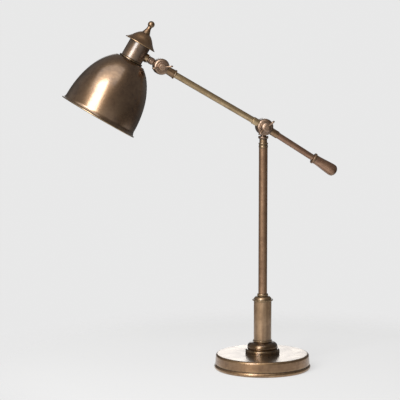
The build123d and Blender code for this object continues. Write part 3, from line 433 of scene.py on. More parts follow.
def bends(outline, closed):
    """How worn and how sheltered each point of an outline is, from 0 to 1.

    The bend is the turn of the outline at a point over the length that it takes. Outward bends wear,
    inward ones shelter, and both spread along the outline, fading over the wear's reach.
    """
    ahead = np.roll(outline, -1, 0) - outline
    back = np.roll(ahead, 1, 0)
    turn = np.arctan2(back[:, 0] * ahead[:, 1] - back[:, 1] * ahead[:, 0], (back * ahead).sum(1))
    length = (np.linalg.norm(ahead, axis=1) + np.linalg.norm(back, axis=1)) / 2
    bend = -turn / length
    if not closed:
        bend[[0, -1]] = 0
    along = np.concatenate([[0], np.cumsum(np.linalg.norm(np.diff(outline, axis=0), axis=1))])
    spread = np.exp(-np.abs(along[:, None] - along[None, :]) / WEAR_REACH)
    out, into = np.clip(bend, 0, None), np.clip(-bend, 0, None)
    return [(spread * (amount / (amount + HALF_WORN_BEND))).max(1) for amount in (out, into)]


def turned_mesh(name, axis, outline, around, seams=(), shift=None):
    """Surface of revolution: origin + a(s) along + r(s) (cos t across + sin t square).

    The outline's points are (a, r). It is a closed section, or it starts and ends on the axis. shift,
    if given, is a function of a, r and t that says how much further along the axis a point lies. seams
    are places along the axis where another piece meets this one, and patina stays.
    """
    closed = outline[0, 1] > SAME_POINT
    a, r = outline.T
    if np.sum(a * np.roll(r, -1) - np.roll(a, -1) * r) > 0:
        outline = outline[::-1]
        a, r = outline.T
    worn, sheltered = bends(outline, closed)
    for seam in seams:
        sheltered = np.maximum(sheltered, np.exp(-np.abs(a - seam) / WEAR_REACH))
    origin, along, across = axis
    square = np.cross(along, across)
    t = np.linspace(0, 2 * np.pi, around, endpoint=False)
    grid_a = np.repeat(a[:, None], around, axis=1)
    grid_r = np.repeat(r[:, None], around, axis=1)
    if shift is not None:
        grid_a = grid_a + shift(grid_a, grid_r, t[None, :])
    own = np.stack([grid_r * np.cos(t), grid_r * np.sin(t), grid_a], axis=-1)
    points = origin + own[..., 2:] * along + own[..., :1] * across + own[..., 1:2] * square
    index = np.arange(own[..., 0].size).reshape(own.shape[:2])
    nearer = index if closed else index[1:-1]
    further = np.roll(nearer, -1, 0) if closed else nearer[1:]
    nearer = nearer if closed else nearer[:-1]
    quads = np.stack([nearer, np.roll(nearer, -1, 1), np.roll(further, -1, 1), further], axis=-1)
    quads = quads.reshape(-1, 4)
    triangles = np.zeros((0, 3), int)
    if not closed:
        first, last = index[1], index[-2]
        start_fan = np.stack([np.full(around, index[0, 0]), np.roll(first, -1), first], axis=1)
        end_fan = np.stack([last, np.roll(last, -1), np.full(around, index[-1, 0])], axis=1)
        triangles = np.concatenate([start_fan, end_fan])
    used, faces = np.unique(np.concatenate([quads.ravel(), triangles.ravel()]), return_inverse=True)
    quads, triangles = faces[:quads.size].reshape(-1, 4), faces[quads.size:].reshape(-1, 3)
    mesh = mesh_of(name, points.reshape(-1, 3)[used], quads, triangles)
    store(mesh, "own_place", own.reshape(-1, 3)[used])
    store(mesh, "worn", np.repeat(worn, around)[used])
    store(mesh, "sheltered", np.repeat(sheltered, around)[used])
    return mesh


standing_for = {}


def set_up(piece_name, mesh, node, finish):
    """Makes a mesh a piece that stands for a CAD node, rides on its body and wears a finish."""
    piece = bpy.data.objects.new(piece_name, mesh)
    bpy.context.scene.collection.objects.link(piece)
    mesh.materials.append(finish)
    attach(piece, body_of[node])
    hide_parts(node)
    standing_for[node] = piece
    return piece


def turned_piece(node, axis, outline, finish, around=128, slot="aged_brass", seams=(), shift=None):
    """A turned surface in place of the CAD node of that name."""
    mesh = turned_mesh(node + "_turned", axis, outline, around, seams, shift)
    piece = set_up(node + "_turned", mesh, node, finish)
    print(piece.name, len(mesh.vertices), "vertices")
    return piece


def ring_piece(node, axis, ends, radii, roundings, finish, around=128, bore_round=CRISP, **more):
    """A plain ring or tube: its two ends, the radii of bore and outside, and its two outer roundings."""
    turned_piece(node, axis, ring_section(*ends, *radii, *roundings, bore_round), finish, around, **more)


def drilled(piece, axis, radius, start, end, sides=48):
    """Bores a round hole: a turned cutter is taken away, and the piece keeps its stored attributes."""
    bore = rounded_outline([[start, 0, 0], [start, radius, 0], [end, radius, 0], [end, 0, 0]], closed=False)
    cutter = bpy.data.objects.new("drill", turned_mesh("drill", axis, bore, sides))
    bpy.context.scene.collection.objects.link(cutter)
    cut = piece.modifiers.new("bore", "BOOLEAN")
    cut.object, cut.operation, cut.solver = cutter, "DIFFERENCE", "MANIFOLD"
    bored = bpy.data.meshes.new_from_object(piece.evaluated_get(bpy.context.evaluated_depsgraph_get()))
    piece.modifiers.clear()
    bored.materials.clear()
    bored.materials.append(piece.data.materials[0])
    solid, piece.data = piece.data, bored
    bpy.data.meshes.remove(solid)
    bpy.data.objects.remove(cutter)
    print(piece.name, "drilled,", len(bored.vertices), "vertices")


# %% [markdown]
# ## Aged brass
# The whole lamp is one metal in several states. Brass is a yellow mirror; age lays a brown film over it
# in soft clouds, thin where hands rub it and thick in corners, and the last polish leaves fine lines,
# round the axis on turned pieces and lengthwise on drawn tubes. Over it lies clear lacquer, which adds
# a white gloss. So the material mixes tones by a cloud, a finer blotch and a grain that is stretched in
# the piece's own frame, lightens the worn edges, darkens the sheltered corners, and lets the film make
# the surface rougher as well as darker.

# %% Brass
polished_brass = (0.66, 0.47, 0.24, 1.0)
black_patina = (0.016, 0.011, 0.007, 1.0)
GRAIN_STRETCH = {"turned": (0.03, 0.03, 1.0), "drawn": (1.0, 1.0, 0.012)}
CLOUD_SHARE, BLOTCH_SHARE, PATINA_SHARE = 1.5, 0.6, 0.7
DARK_STOP, MIDDLE_STOP, LIGHT_STOP = 0.12, 0.5, 0.88
HAIR_ROUGHNESS, PATINA_ROUGHNESS = 0.06, 0.2
LINE_STRENGTH, LINE_DEPTH = 0.12, 0.05 * mm
RUBBED_RANGE, FILM_RANGE = (0.25, 0.6), (0.15, 0.85)
BLOTCH_SIZE, STREAK_SIZE, HAIR_SIZE = 0.2, 2.5, 0.5


def aged_brass(name, dark, middle, light, roughness, cloud_size=26 * mm, grain="turned", grain_share=0.35,
               grain_size=0.9 * mm, wear=0.55, lacquer=0.6, lacquer_roughness=0.15, lacquer_ior=1.6):
    """Brass between three tones; roughness is a pair for bare and filmed metal, grain turned or drawn."""
    material = bpy.data.materials.new(name)
    tree = empty_tree(material)
    place = add_node(tree, "ShaderNodeTexCoord").outputs["Object"]
    own = add_node(tree, "ShaderNodeAttribute", attribute_name="own_place").outputs["Vector"]
    worn = add_node(tree, "ShaderNodeAttribute", attribute_name="worn").outputs["Fac"]
    sheltered = add_node(tree, "ShaderNodeAttribute", attribute_name="sheltered").outputs["Fac"]
    stretch = {0: own, 1: GRAIN_STRETCH[grain]}
    lines = add_node(tree, "ShaderNodeVectorMath", stretch, operation="MULTIPLY").outputs["Vector"]
    cloud = noise(tree, place, cloud_size, detail=4.0, roughness=0.6, distortion=0.5)
    blotch = noise(tree, place, cloud_size * BLOTCH_SIZE, detail=3.0, roughness=0.55)
    streak = noise(tree, lines, grain_size * STREAK_SIZE, detail=4.0, roughness=0.7)
    hair = noise(tree, lines, grain_size * HAIR_SIZE, detail=2.0, roughness=0.6)
    tone = scaled(tree, cloud, CLOUD_SHARE, (1 - CLOUD_SHARE - BLOTCH_SHARE - grain_share) / 2)
    tone = scaled(tree, blotch, BLOTCH_SHARE, tone)
    tone = scaled(tree, streak, grain_share, tone)
    ramp = add_node(tree, "ShaderNodeValToRGB", {"Fac": tone})
    stops = ramp.color_ramp.elements
    stops[0].position, stops[0].color = DARK_STOP, (*dark, 1.0)
    stops[1].position, stops[1].color = LIGHT_STOP, (*light, 1.0)
    stops.new(MIDDLE_STOP).color = (*middle, 1.0)
    rubbed = worked_out(tree, "MULTIPLY", worn, ranged(tree, blotch, *RUBBED_RANGE))
    bare = scaled(tree, rubbed, wear)
    colour = blended(tree, bare, ramp.outputs["Color"], polished_brass)
    hidden = scaled(tree, sheltered, PATINA_SHARE)
    colour = blended(tree, hidden, colour, black_patina)
    rough = ranged(tree, tone, *FILM_RANGE, roughness[1], roughness[0])
    rough = scaled(tree, hair, HAIR_ROUGHNESS, scaled(tree, rough, 1.0, -HAIR_ROUGHNESS / 2))
    rough = scaled(tree, hidden, PATINA_ROUGHNESS, rough)
    relief = scaled(tree, hair, 0.5, scaled(tree, streak, 0.5))
    bump = add_node(tree, "ShaderNodeBump",
                    {"Height": relief, "Strength": LINE_STRENGTH, "Distance": LINE_DEPTH})
    shader = add_node(tree, "ShaderNodeBsdfPrincipled", {
        "Base Color": colour, "Roughness": rough, "Normal": bump.outputs["Normal"], "Metallic": 1.0,
        "Coat Weight": lacquer, "Coat Roughness": lacquer_roughness, "Coat IOR": lacquer_ior})
    add_node(tree, "ShaderNodeOutputMaterial", {"Surface": shader.outputs[0]})
    print("finish", name, len(tree.nodes), "nodes")
    return material


spun_brass = aged_brass("spun_brass", (0.12, 0.066, 0.033), (0.235, 0.136, 0.069), (0.35, 0.217, 0.116),
                        (0.28, 0.38), cloud_size=34 * mm, grain_share=0.12, wear=0.8, lacquer=1.0,
                        lacquer_roughness=0.2, lacquer_ior=1.74)
turned_brass = aged_brass("turned_brass", (0.12, 0.066, 0.034), (0.25, 0.146, 0.075), (0.40, 0.255, 0.14),
                          (0.32, 0.44), cloud_size=18 * mm)
# A lighter copy of the turned brass; on the stem collar it paints in light where the neck's shadow falls.
pale_brass = aged_brass("pale_brass", (0.20, 0.124, 0.066), (0.34, 0.22, 0.122), (0.48, 0.325, 0.19),
                        (0.34, 0.46), cloud_size=18 * mm)
boss_brass = aged_brass("boss_brass", (0.050, 0.025, 0.010), (0.115, 0.060, 0.026), (0.20, 0.112, 0.052),
                        (0.27, 0.35), cloud_size=18 * mm, lacquer=0.9, lacquer_roughness=0.14,
                        lacquer_ior=1.5)
sleeve_brass = aged_brass("sleeve_brass", (0.22, 0.138, 0.077), (0.35, 0.227, 0.13), (0.48, 0.325, 0.20),
                          (0.50, 0.62), cloud_size=40 * mm, grain="drawn", grain_share=1.2)
drawn_brass = aged_brass("drawn_brass", (0.17, 0.096, 0.054), (0.28, 0.164, 0.093), (0.40, 0.25, 0.15),
                         (0.54, 0.66), cloud_size=40 * mm, grain="drawn", grain_share=1.0)
golden_brass = aged_brass("golden_brass", (0.24, 0.164, 0.082), (0.40, 0.285, 0.155), (0.54, 0.40, 0.23),
                          (0.40, 0.54), cloud_size=30 * mm, grain="drawn", grain_share=1.9)
red_brass = aged_brass("red_brass", (0.15, 0.078, 0.047), (0.30, 0.168, 0.106), (0.44, 0.265, 0.165),
                       (0.42, 0.56), cloud_size=26 * mm, grain="drawn", grain_share=1.3)
satin_brass = aged_brass("satin_brass", (0.16, 0.088, 0.042), (0.28, 0.162, 0.082), (0.40, 0.25, 0.135),
                         (0.33, 0.45), cloud_size=40 * mm, grain_share=0.7)
# Paler, whiter tones than the satin wall: partly polished metal, partly a painted reflection of the white backdrop
# on the top.
top_brass_painted_reflection = aged_brass("top_brass_painted_reflection", (0.25, 0.183, 0.125), (0.35, 0.263, 0.185), (0.46, 0.355, 0.25),
                          (0.26, 0.34), cloud_size=40 * mm, grain_share=0.15, lacquer=1.0,
                          lacquer_roughness=0.3)

# %% [markdown]
# ## The base
# The base is a weight under a spun cover: a flat polished top, a rounded lip, a wall that leans in a
# little, a groove, and a bead at the foot. The bead is a shallow bow between its two ends, so the helper
# for bows gives its points. A felt pad shows as a dark line at the very foot.

# %% Base cover
cover_low, cover_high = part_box("base_cover")
base_radius, base_top, cover_foot = cover_high.x, cover_high.z, cover_low.z
bead_height, bead_depth = 7.8 * mm, 2.0 * mm
groove_height, groove_depth = 1.6 * mm, 1.2 * mm
wall_taper, lip_round, cover_wall = 1.4 * mm, 4.6 * mm, 1.5 * mm
rod_hole = 5.05 * mm
wall_foot_radius = base_radius - bead_depth
wall_top_radius = wall_foot_radius - wall_taper
cover_inside = wall_top_radius - cover_wall
bead_top = cover_foot + bead_height
groove_top = bead_top + groove_height
bead = bowed((bead_top, wall_foot_radius), (cover_foot, wall_foot_radius), -bead_depth, count=22)
cover_outline = rounded_outline(
    [[base_top, rod_hole, CRISP],
     [base_top, wall_top_radius, lip_round],
     [groove_top, wall_foot_radius, 0.4 * mm],
     [groove_top, wall_foot_radius - groove_depth, 0.3 * mm],
     [bead_top, wall_foot_radius - groove_depth, 0.3 * mm]],
    bead,
    [[cover_foot, cover_inside, CRISP],
     [base_top - cover_wall, cover_inside, lip_round - cover_wall],
     [base_top - cover_wall, rod_hole, CRISP]],
)
base_cover = turned_piece("base_cover", column_axis, cover_outline, satin_brass, 288,
                          seams=(groove_top - groove_height / 2,))

# %% [markdown]
# The hole for the cord's bush is drilled through the rear of the wall, as it would be in the workshop,
# before polishing. The top is polished and the wall is only brushed, so the faces that look straight up
# then take a second material: a paler, whiter brass, whose colour is partly polished metal and partly
# a painted reflection of the white backdrop.

# %% Polished top and cord hole
bush_low, bush_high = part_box("cord_inlet_bush")
bush_height = (bush_low.z + bush_high.z) / 2
bush_body_radius, drill_run, looking_up = 4.6 * mm, 5 * mm, 0.95
bush_axis = (np.array([0.0, 0.0, bush_height]), -front, right)
drilled(base_cover, bush_axis, bush_body_radius, cover_inside - drill_run, base_radius + drill_run)
base_cover.data.materials.append(top_brass_painted_reflection)
face_up = np.zeros(3 * len(base_cover.data.polygons), np.float32)
face_place = np.zeros_like(face_up)
base_cover.data.polygons.foreach_get("normal", face_up)
base_cover.data.polygons.foreach_get("center", face_place)
polished = (face_up[2::3] > looking_up) & (face_place[2::3] > base_top - lip_round)
base_cover.data.polygons.foreach_set("material_index", polished.astype(np.int32))
print(int(polished.sum()), "polished faces")

# %% [markdown]
# The bush is a small turned piece of black fibre with a flange, lining that hole. The felt is a disc
# whose cut edge wavers a little, and it takes a finish of its own: no gloss, and a nap of short fibres.

# %% Bush and felt
MOTTLE_RANGE, MOTTLE_STRENGTH, COAT_ROUGHNESS, SHEEN_ROUGHNESS = (0.3, 0.7), 0.5, 0.1, 0.5


def plain_finish(name, dark, light, size, roughness, metallic=0.0, relief=0.1 * mm, sheen=0.0, coat=0.0):
    """Two close tones in a fine mottle that also roughens and lifts the surface."""
    material = bpy.data.materials.new(name)
    tree = empty_tree(material)
    place = add_node(tree, "ShaderNodeTexCoord").outputs["Object"]
    mottle = noise(tree, place, size, detail=5.0, roughness=0.65)
    colour = blended(tree, ranged(tree, mottle, *MOTTLE_RANGE), (*dark, 1.0), (*light, 1.0))
    rough = ranged(tree, mottle, *MOTTLE_RANGE, *roughness)
    bump = add_node(tree, "ShaderNodeBump",
                    {"Height": mottle, "Strength": MOTTLE_STRENGTH, "Distance": relief})
    shader = add_node(tree, "ShaderNodeBsdfPrincipled", {
        "Base Color": colour, "Roughness": rough, "Normal": bump.outputs["Normal"], "Metallic": metallic,
        "Sheen Weight": sheen, "Sheen Roughness": SHEEN_ROUGHNESS,
        "Coat Weight": coat, "Coat Roughness": COAT_ROUGHNESS})
    add_node(tree, "ShaderNodeOutputMaterial", {"Surface": shader.outputs[0]})
    print("finish", name)
    return material


black_fibre = plain_finish("black_fibre", (0.018, 0.017, 0.016), (0.045, 0.042, 0.04), 1.5 * mm, (0.38, 0.55))
felt = plain_finish("felt", (0.014, 0.018, 0.014), (0.06, 0.07, 0.055), 0.5 * mm, (0.85, 1.0),
                    relief=0.3 * mm, sheen=0.6)

bush_bore, flange_radius, flange_back = 3.2 * mm, 6.2 * mm, bush_high.y - 1.8 * mm
bush_outline = rounded_outline([
    [bush_low.y, bush_bore, 0.3 * mm],
    [bush_high.y, bush_bore, 0.6 * mm],
    [bush_high.y, flange_radius, 0.7 * mm],
    [flange_back, flange_radius, 0.3 * mm],
    [flange_back, bush_body_radius, CRISP],
    [bush_low.y, bush_body_radius, 0.3 * mm],
])
turned_piece("cord_inlet_bush", bush_axis, bush_outline, black_fibre, 64, "black_fibre")

felt_low, felt_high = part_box("felt_pad")
felt_edge, felt_wave, edge_share = 0.5 * mm, 0.12 * mm, 0.03


def wavering_edge(a, r, t):
    """Nothing at the flat faces' middle, and two waves of a hair's breadth up and down at the cut edge."""
    near_edge = np.clip(1 - (1 - r / felt_high.x) / edge_share, 0, 1)
    inside = 4 * (a - felt_low.z) * (felt_high.z - a) / (felt_high.z - felt_low.z) ** 2
    return felt_wave * near_edge * inside * (np.sin(41 * t) + np.sin(67 * t + 1.0))


felt_outline = rounded_outline([
    [felt_low.z, 0, 0],
    [felt_low.z, felt_high.x, felt_edge],
    [felt_high.z, felt_high.x, felt_edge],
    [felt_high.z, 0, 0],
], closed=False)
felt_pad = turned_piece("felt_pad", column_axis, felt_outline, felt, 288, "felt", shift=wavering_edge)

# %% [markdown]
# ## The boss
# On the base stands a low ring with a round shoulder, and on it a fat cushion: below its widest place
# an arc tucks it in, above it a quarter of an ellipse closes to the neck. Both are polished like the
# shade, and mirror the soft box as a small bright patch.

# %% Boss ring and cushion
ring_low, ring_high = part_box("boss_ring")
boss_roundings = (0.5 * mm, 3.6 * mm)
ring_piece("boss_ring", column_axis, (ring_low.z, ring_high.z), (rod_hole, ring_high.x), boss_roundings,
           boss_brass, 192, seams=(ring_low.z,))

cushion_low, cushion_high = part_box("boss_cushion")
cushion_radius, cushion_foot_radius, cushion_neck_radius = cushion_high.x, 28.8 * mm, 15.6 * mm
widest_height = 4.0 * mm
tuck = cushion_radius - cushion_foot_radius
tuck_arc = (tuck ** 2 + widest_height ** 2) / (2 * tuck)
dip = np.linspace(-np.arcsin(widest_height / tuck_arc), 0, 14)[:-1]
under = np.stack([cushion_low.z + widest_height + tuck_arc * np.sin(dip),
                  cushion_radius - tuck_arc * (1 - np.cos(dip))], axis=1)
lift = np.linspace(0, np.pi / 2, 30)
above_widest = cushion_high.z - cushion_low.z - widest_height
over = np.stack([cushion_low.z + widest_height + above_widest * np.sin(lift),
                 cushion_neck_radius + (cushion_radius - cushion_neck_radius) * np.cos(lift)], axis=1)
cushion_outline = rounded_outline(
    [[cushion_low.z, rod_hole, CRISP]], under, over, [[cushion_high.z, rod_hole, CRISP]])
turned_piece("boss_cushion", column_axis, cushion_outline, boss_brass, 192, seams=(cushion_high.z,))

# %% [markdown]
# ## Sleeve and column
# A short thick sleeve stiffens the foot of the column, between a plain ring and a cap with a brim and a
# domed shoulder. Rings and tubes have the same simple section, so one helper draws them all, and only
# the radii and the roundings of the edges differ.

# %% Sleeve
column_hole = 8.55 * mm
foot_low, foot_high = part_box("sleeve_foot_ring")
sleeve_low, sleeve_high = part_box("sleeve_tube")
bead_round, sleeve_wall = 1.05 * mm, 1.6 * mm
tube_edges = (0.25 * mm, 0.25 * mm)
foot_ends, sleeve_ends = (foot_low.z, sleeve_low.z), (sleeve_low.z, sleeve_high.z)
ring_piece("sleeve_foot_ring", column_axis, foot_ends, (column_hole, foot_high.x), (bead_round, bead_round),
           turned_brass, seams=foot_ends)
ring_piece("sleeve_tube", column_axis, sleeve_ends, (sleeve_high.x - sleeve_wall, sleeve_high.x), tube_edges,
           sleeve_brass, seams=sleeve_ends)

# %% [markdown]
# The cap that closes the sleeve is one outline: a brim with two rounded edges, then a dome that is a
# shallow bow from the sleeve's radius in to the ring on the column.

# %% Sleeve cap and column ring
cap_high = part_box("sleeve_cap")[1]
brim_height, brim_round, dome_bow = 2.8 * mm, 0.92 * mm, 1.5 * mm
collar_low, collar_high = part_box("column_ring")
brim_top = sleeve_high.z + brim_height
dome = bowed((brim_top, sleeve_high.x), (cap_high.z, collar_high.x), dome_bow)
sleeve_cap_outline = rounded_outline(
    [[sleeve_high.z, column_hole, CRISP],
     [sleeve_high.z, cap_high.x, brim_round],
     [brim_top, cap_high.x, brim_round],
     [brim_top, sleeve_high.x + 0.3 * mm, CRISP]],
    dome[1:],
    [[cap_high.z, column_hole, CRISP]],
)
turned_piece("sleeve_cap", column_axis, sleeve_cap_outline, pale_brass,
             seams=(sleeve_high.z, brim_top, cap_high.z))

collar_ends, collar_roundings = (collar_low.z, collar_high.z), (bead_round, 1.6 * mm)
ring_piece("column_ring", column_axis, collar_ends, (column_hole, collar_high.x), collar_roundings,
           pale_brass, seams=collar_ends)

# %% [markdown]
# The column is a drawn tube. Its ferrule has a band, a fine ring and a waist, like beads on a staff;
# here the roundings of the corners do the work. A hole in its rear takes the screw that stops the
# swivel's turn.

# %% Column and its ferrule
column_low, column_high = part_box("column_tube")
column_wall = 1.2 * mm
ring_piece("column_tube", column_axis, (column_low.z, column_high.z),
           (column_high.x - column_wall, column_high.x), tube_edges, drawn_brass,
           seams=(collar_high.z, column_high.z))

ferrule_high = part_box("column_ferrule")[1]
spindle_bore = 5.05 * mm
band_radius, body_radius, ring_radius, waist_radius = 9.0 * mm, 8.5 * mm, 9.3 * mm, 7.6 * mm
band_top = column_high.z + 4.0 * mm
ring_foot = band_top + 3.2 * mm
ring_top = ring_foot + 2.2 * mm
ferrule_outline = rounded_outline([
    [column_high.z, spindle_bore, CRISP],
    [column_high.z, band_radius, 0.7 * mm],
    [band_top, band_radius, 0.7 * mm],
    [band_top, body_radius, CRISP],
    [ring_foot, body_radius, 0.3 * mm],
    [ring_foot, ring_radius, 0.75 * mm],
    [ring_top, ring_radius, 0.75 * mm],
    [ring_top, waist_radius, 0.9 * mm],
    [ferrule_high.z, waist_radius, 0.4 * mm],
    [ferrule_high.z, spindle_bore, CRISP],
])
column_ferrule = turned_piece("column_ferrule", column_axis, ferrule_outline, pale_brass, 96,
                              seams=(column_high.z, band_top, ring_foot, ferrule_high.z))
stop_low, stop_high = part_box("swivel_stop_screw")
stop_axis = (np.array([0.0, 0.0, (stop_low.z + stop_high.z) / 2]), -front, right)
stop_play, short_run = 0.05 * mm, 2 * mm
drilled(column_ferrule, stop_axis, stop_high.x + stop_play, spindle_bore - short_run, band_radius + short_run)

# %% [markdown]
# ## The knuckles
# Each knuckle is two discs face to face on one screw, with a wing nut in front. A disc is a surface of
# revolution about the screw, hollow for the wires, with its outer edge well rounded. Where two pieces
# turn on each other, a running gap of a hair's breadth keeps their faces apart.

# %% Front discs
running_gap = 0.03 * mm
rear_back, rear_front = -6.0 * mm, 6.0 * mm - running_gap
disc_back, disc_front = 6.8 * mm + running_gap, 22.2 * mm
chamber_radius, screw_hole, disc_round = 10.0 * mm, 3.05 * mm, 5.0 * mm
rear_floor, front_ceiling = rear_back + 3.2 * mm, disc_front - 4.4 * mm
arm_disc_radius, head_disc_radius = 16.3 * mm, 15.5 * mm


def rear_disc_outline(radius):
    """Section of a rear disc: rounded at the back, open to the front."""
    return rounded_outline([
        [rear_back, screw_hole, CRISP], [rear_back, radius, disc_round], [rear_front, radius, 0.5 * mm],
        [rear_front, chamber_radius, 0.3 * mm], [rear_floor, chamber_radius, 0.5 * mm],
        [rear_floor, screw_hole, CRISP]], arc_points=12)


def front_disc_outline(radius):
    """Section of a front disc: rounded at the front, open to the back."""
    return rounded_outline([
        [disc_back, chamber_radius, 0.3 * mm], [disc_back, radius, 0.5 * mm],
        [disc_front, radius, disc_round], [disc_front, screw_hole, CRISP],
        [front_ceiling, screw_hole, CRISP], [front_ceiling, chamber_radius, 0.5 * mm]], arc_points=12)


knuckle_brass = aged_brass("knuckle_brass", (0.20, 0.124, 0.084), (0.34, 0.222, 0.156), (0.48, 0.33, 0.24),
                           (0.40, 0.50), cloud_size=16 * mm, wear=0.2)
# A darker copy of the knuckle brass: its colour paints in the shade that the washer and wing nut cast on the
# disc's face.
disc_brass_painted_shade = aged_brass("disc_brass_painted_shade", (0.13, 0.080, 0.054), (0.26, 0.166, 0.115), (0.42, 0.285, 0.205),
                        (0.34, 0.44), cloud_size=16 * mm, wear=0.3)
turned_piece("arm_knuckle", arm_knuckle_axis, front_disc_outline(arm_disc_radius), disc_brass_painted_shade)
turned_piece("head_knuckle_front", head_knuckle_axis, front_disc_outline(head_disc_radius), disc_brass_painted_shade)

# %% [markdown]
# The rear disc of the lower knuckle stands on a post that turns in the column; the rear disc of the
# upper one carries a ringed stem. Such a piece is two turned skins in one mesh, the second running into
# the metal of the first.

# %% Rear discs, post and stem
def joined(first, second):
    """One mesh of two skins: their points, faces and attributes end to end, for a piece of two forms."""
    both = bpy.data.objects.new("joining", first)
    other = bpy.data.objects.new("joining_too", second)
    for part in (both, other):
        bpy.context.scene.collection.objects.link(part)
    with bpy.context.temp_override(active_object=both, selected_editable_objects=[both, other]):
        bpy.ops.object.join()
    bpy.data.objects.remove(both)
    return first


post_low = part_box("knuckle_post")[0]
washer_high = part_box("swivel_washer")[1]
post_ring_foot, post_ring_top = washer_high.z + running_gap, washer_high.z + 5.4 * mm
neck_radius_of_post, post_ring_radius, spindle_radius = 5.8 * mm, 9.8 * mm, 5.0 * mm
post_top = arm_pivot[2] - chamber_radius - 0.5 * mm
post_outline = rounded_outline([
    [post_low.z, 0, 0],
    [post_low.z, spindle_radius, 0.3 * mm],
    [post_ring_foot, spindle_radius, 0.3 * mm],
    [post_ring_foot, post_ring_radius, 1.6 * mm],
    [post_ring_top, post_ring_radius, 1.6 * mm],
    [post_ring_top, neck_radius_of_post, 0.8 * mm],
    [post_top, neck_radius_of_post, CRISP],
    [post_top, 0, 0],
], closed=False)
post_mesh = joined(
    turned_mesh("knuckle_post_turned", arm_knuckle_axis, rear_disc_outline(arm_disc_radius), 128),
    turned_mesh("post", column_axis, post_outline, 96, seams=(washer_high.z, post_ring_top)))
# The rear disc and its post wear the same darker brass, with its painted shade.
set_up("knuckle_post_turned", post_mesh, "knuckle_post", disc_brass_painted_shade)

stem_groove_radius, stem_barrel_radius = 5.7 * mm, 7.0 * mm
stem_ring_radius, spigot_radius = 7.5 * mm, 4.8 * mm
barrel_start, barrel_end = 16.0 * mm, 23.6 * mm
stem_ring_start, stem_ring_end = 25.1 * mm, 26.7 * mm
collar_start, spigot_end = 28.2 * mm, 40.6 * mm
stem_outline = rounded_outline([
    [chamber_radius + 0.5 * mm, 0, 0],
    [chamber_radius + 0.5 * mm, neck_radius_of_post, CRISP],
    [barrel_start, neck_radius_of_post, 0.3 * mm],
    [barrel_start, stem_barrel_radius, 0.7 * mm],
    [barrel_end, stem_barrel_radius, 0.7 * mm],
    [barrel_end, stem_groove_radius, 0.4 * mm],
    [stem_ring_start, stem_groove_radius, 0.4 * mm],
    [stem_ring_start, stem_ring_radius, 0.7 * mm],
    [stem_ring_end, stem_ring_radius, 0.7 * mm],
    [stem_ring_end, stem_groove_radius, 0.4 * mm],
    [collar_start, stem_groove_radius, CRISP],
    [collar_start, spigot_radius, CRISP],
    [spigot_end, spigot_radius, CRISP],
    [spigot_end, 0, 0],
], closed=False)
stem_mesh = joined(
    turned_mesh("head_knuckle_stem_turned", head_knuckle_axis, rear_disc_outline(head_disc_radius), 128),
    turned_mesh("stem", stem_axis, stem_outline, 96, seams=(collar_start,)))
set_up("head_knuckle_stem_turned", stem_mesh, "head_knuckle_stem", knuckle_brass)

# %% [markdown]
# The pressure washers between disc and nut are plain rings, punched from sheet. They spread the nut's
# push over the disc, and show as a thin step round the hub.

# %% Pressure washers
washer_front = 23.4 * mm
arm_washer_radius, head_washer_radius = 11.2 * mm, 8.6 * mm

for node, axis, radius in (("arm_pressure_washer", arm_knuckle_axis, arm_washer_radius),
                           ("head_pressure_washer", head_knuckle_axis, head_washer_radius)):
    ring_piece(node, axis, (disc_front, washer_front), (screw_hole, radius), (CRISP, 0.4 * mm),
               knuckle_brass, 96, bore_round=CRISP / 2)

# %% [markdown]
# A wing nut is a cast hub with two wings: the arm's hub is a wide dome, the head's a straighter boss
# with a flat face. One wing is a pebble of metal: its outline is the hull of a small circle at the root
# and a larger one at the lobe, and shrinking both circles together fills the face. The surface takes two
# parameters, one round the hull and one from the middle of one face, over the rounded edge, to the
# middle of the other.

# %% Wing nuts
nut_back = washer_front + running_gap
nut_front = washer_front + 10.0 * mm
hub_flange = 1.2 * mm
root_radius, root_out, root_along = 3.0 * mm, 5.2 * mm, washer_front + 5.2 * mm
lobe_radius, lobe_out, lobe_along = 4.6 * mm, 15.6 * mm, washer_front + 9.5 * mm
wing_half_thickness = 1.6 * mm


def hub_outline(base_radius, face_radius, bulge, count):
    """Section of a hub: a short flange, a side that stands off its chord by the bulge, and a flat face."""
    side = bowed((washer_front + hub_flange, base_radius), (nut_front, face_radius), bulge, count)
    return rounded_outline(
        [[nut_back, screw_hole, CRISP], [nut_back, base_radius, 0.4 * mm]],
        side[:-1],
        [[nut_front, face_radius, 0.8 * mm], [nut_front, screw_hole, 0.3 * mm]])


